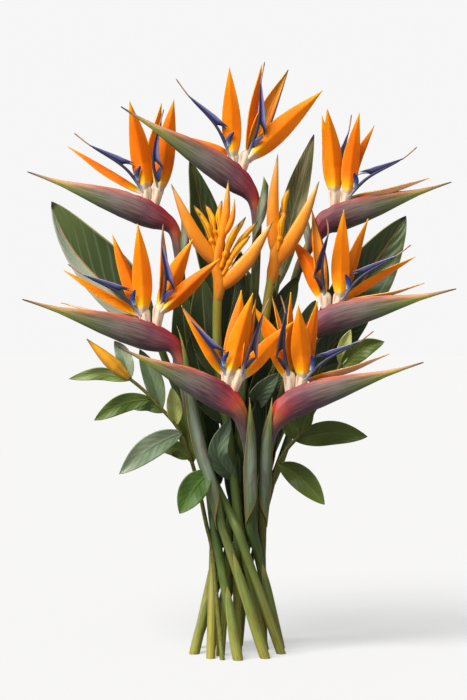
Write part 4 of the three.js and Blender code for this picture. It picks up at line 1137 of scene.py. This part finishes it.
# Spray leaves: thin and slightly glossy, one half painted lighter than the other as if lit from that side,
# with soft side veins and a fine pale margin. They run from dark to young lime green.
spray_skins = {name: plant_skin(name + "_spray_leaf", {0: low, 0.5: low, 1: high},
    # painted light: the lighter half
    zones=[("across", 0.49, 0.53, 0.6, high), ("patch", 0.5, 0.68, 0.4, high),
        ("patch", 0.42, 0.3, 0.4, low), ("vein", 0.4, 1.0, 0.15, high), ("off", 0.016, 0.005, 0.6, rib),
        ("off", 0.478, 0.492, 0.5, rib)], streaks=(16, 2), patches=(3, 4), veins=(7, 0.5, 0.08),
    roughness=0.45, relief=0.12)
    for name, low, high, rib in (("dark", "#465218", "#566624", "#7c8648"),
        ("olive", "#44561a", "#60742e", "#8a9450"), ("green", "#385618", "#52702c", "#7e9450"),
        ("light", "#6a7c38", "#8a9858", "#a4ac6c"), ("grey", "#607454", "#96a284", "#a8b294"),
        ("lime", "#8a9446", "#b6b86c", "#c4c488"), ("dull", "#4a5a3c", "#6a7a54", "#8c9a72"))}

# Closed bud: overlapping amber petals with brown streaks towards the point.
amber_bud = plant_skin("amber_bud",
    {0: "#a8942e", 0.12: "#d89a22", 0.35: "#e09a1e", 0.8: "#e8a018", 1: "#5a3a18"},
    zones=[("streak", 0.46, 0.34, 0.75, "#8a4e14"), ("streak", 0.58, 0.7, 0.4, "#f6bc4a")],
    streaks=(9, 0.9))

for number, plant in enumerate(SPRAYS):
    name = "spray_" + plant["name"]
    twig = cut_at_floor(tube("twig", stem_path(plant, plant["stem"], straight=False),
                             lambda t: SPRAY_STEM_RADIUS * (1 - 0.35 * t), olive_twig,
                             columns=12, rows=80, span=STALK_SPAN))
    blades = []
    for place, (base, tip, width, tone) in enumerate(plant["leaves"]):
        bowed = [base, np.add(base, tip) / 2 + UP * SPRAY_LEAF_BOW, tip]
        blades.append(leaf_blade(bowed, width, TO_VIEWER, fold=0.3, rise=0.75, fall=0.9,
                                 skins=[spray_skins[tone], spray_skins["light"]],
                                 seed=100 + number * 20 + place, cuts=(18, 36), base=0.1,
                                 ridges=(7, 0.08)))
    grown(joined(name + "_piece", [twig] + blades), "spray_green", name)
bud_points = [BUD_BASE, (BUD_BASE + BUD_TIP) / 2 - UP, BUD_TIP]
bud = tube("bud", bud_points, lambda t: np.interp(t, [0, 0.1, 0.3, 0.5, 0.68, 0.88, 1],
                                                  [2.6, 4.8, 7.4, 6.8, 5.0, 2.2, 0.4]),
           amber_bud, columns=20, rows=40, lobes=(3, 0.06))
grown(joined("spray_left_bud_piece", [bud]), "bract_orange", "spray_left_bud")


# The tie: soft green twine wound four times round the inner stems at the waist, with the
# outer stems leaning on it.

TWINE_RADIUS = 1.1
TWINE_RING = 18.1
TWINE_BAND = 6.6
TURNS = 4
TURN_POINTS = 24

# Twisted green twine: slanting strands of about 2 mm.
twisted_twine = plant_skin("twisted_green_twine", {0: "#56653a", 1: "#5e6d40"},
    zones=[("streak", 0.55, 0.4, 0.8, "#333f20"), ("streak", 0.55, 0.68, 0.6, "#8a9a62")],
    streaks=(3, 220), roughness=0.85, coat=0.0, relief=0.6)

winding = []
for step in range(TURN_POINTS * TURNS + 1):
    turned = step * math.tau / TURN_POINTS
    height = WAIST_HEIGHT - TWINE_BAND / 2 + TWINE_BAND * step / (TURN_POINTS * TURNS)
    winding.append((TWINE_RING * math.cos(turned), TWINE_RING * math.sin(turned), height))
twine = tube("tie_piece", winding, lambda t: np.full_like(t, TWINE_RADIUS), twisted_twine,
             columns=8, rows=220)
grown(twine, "twine_green", "tie")
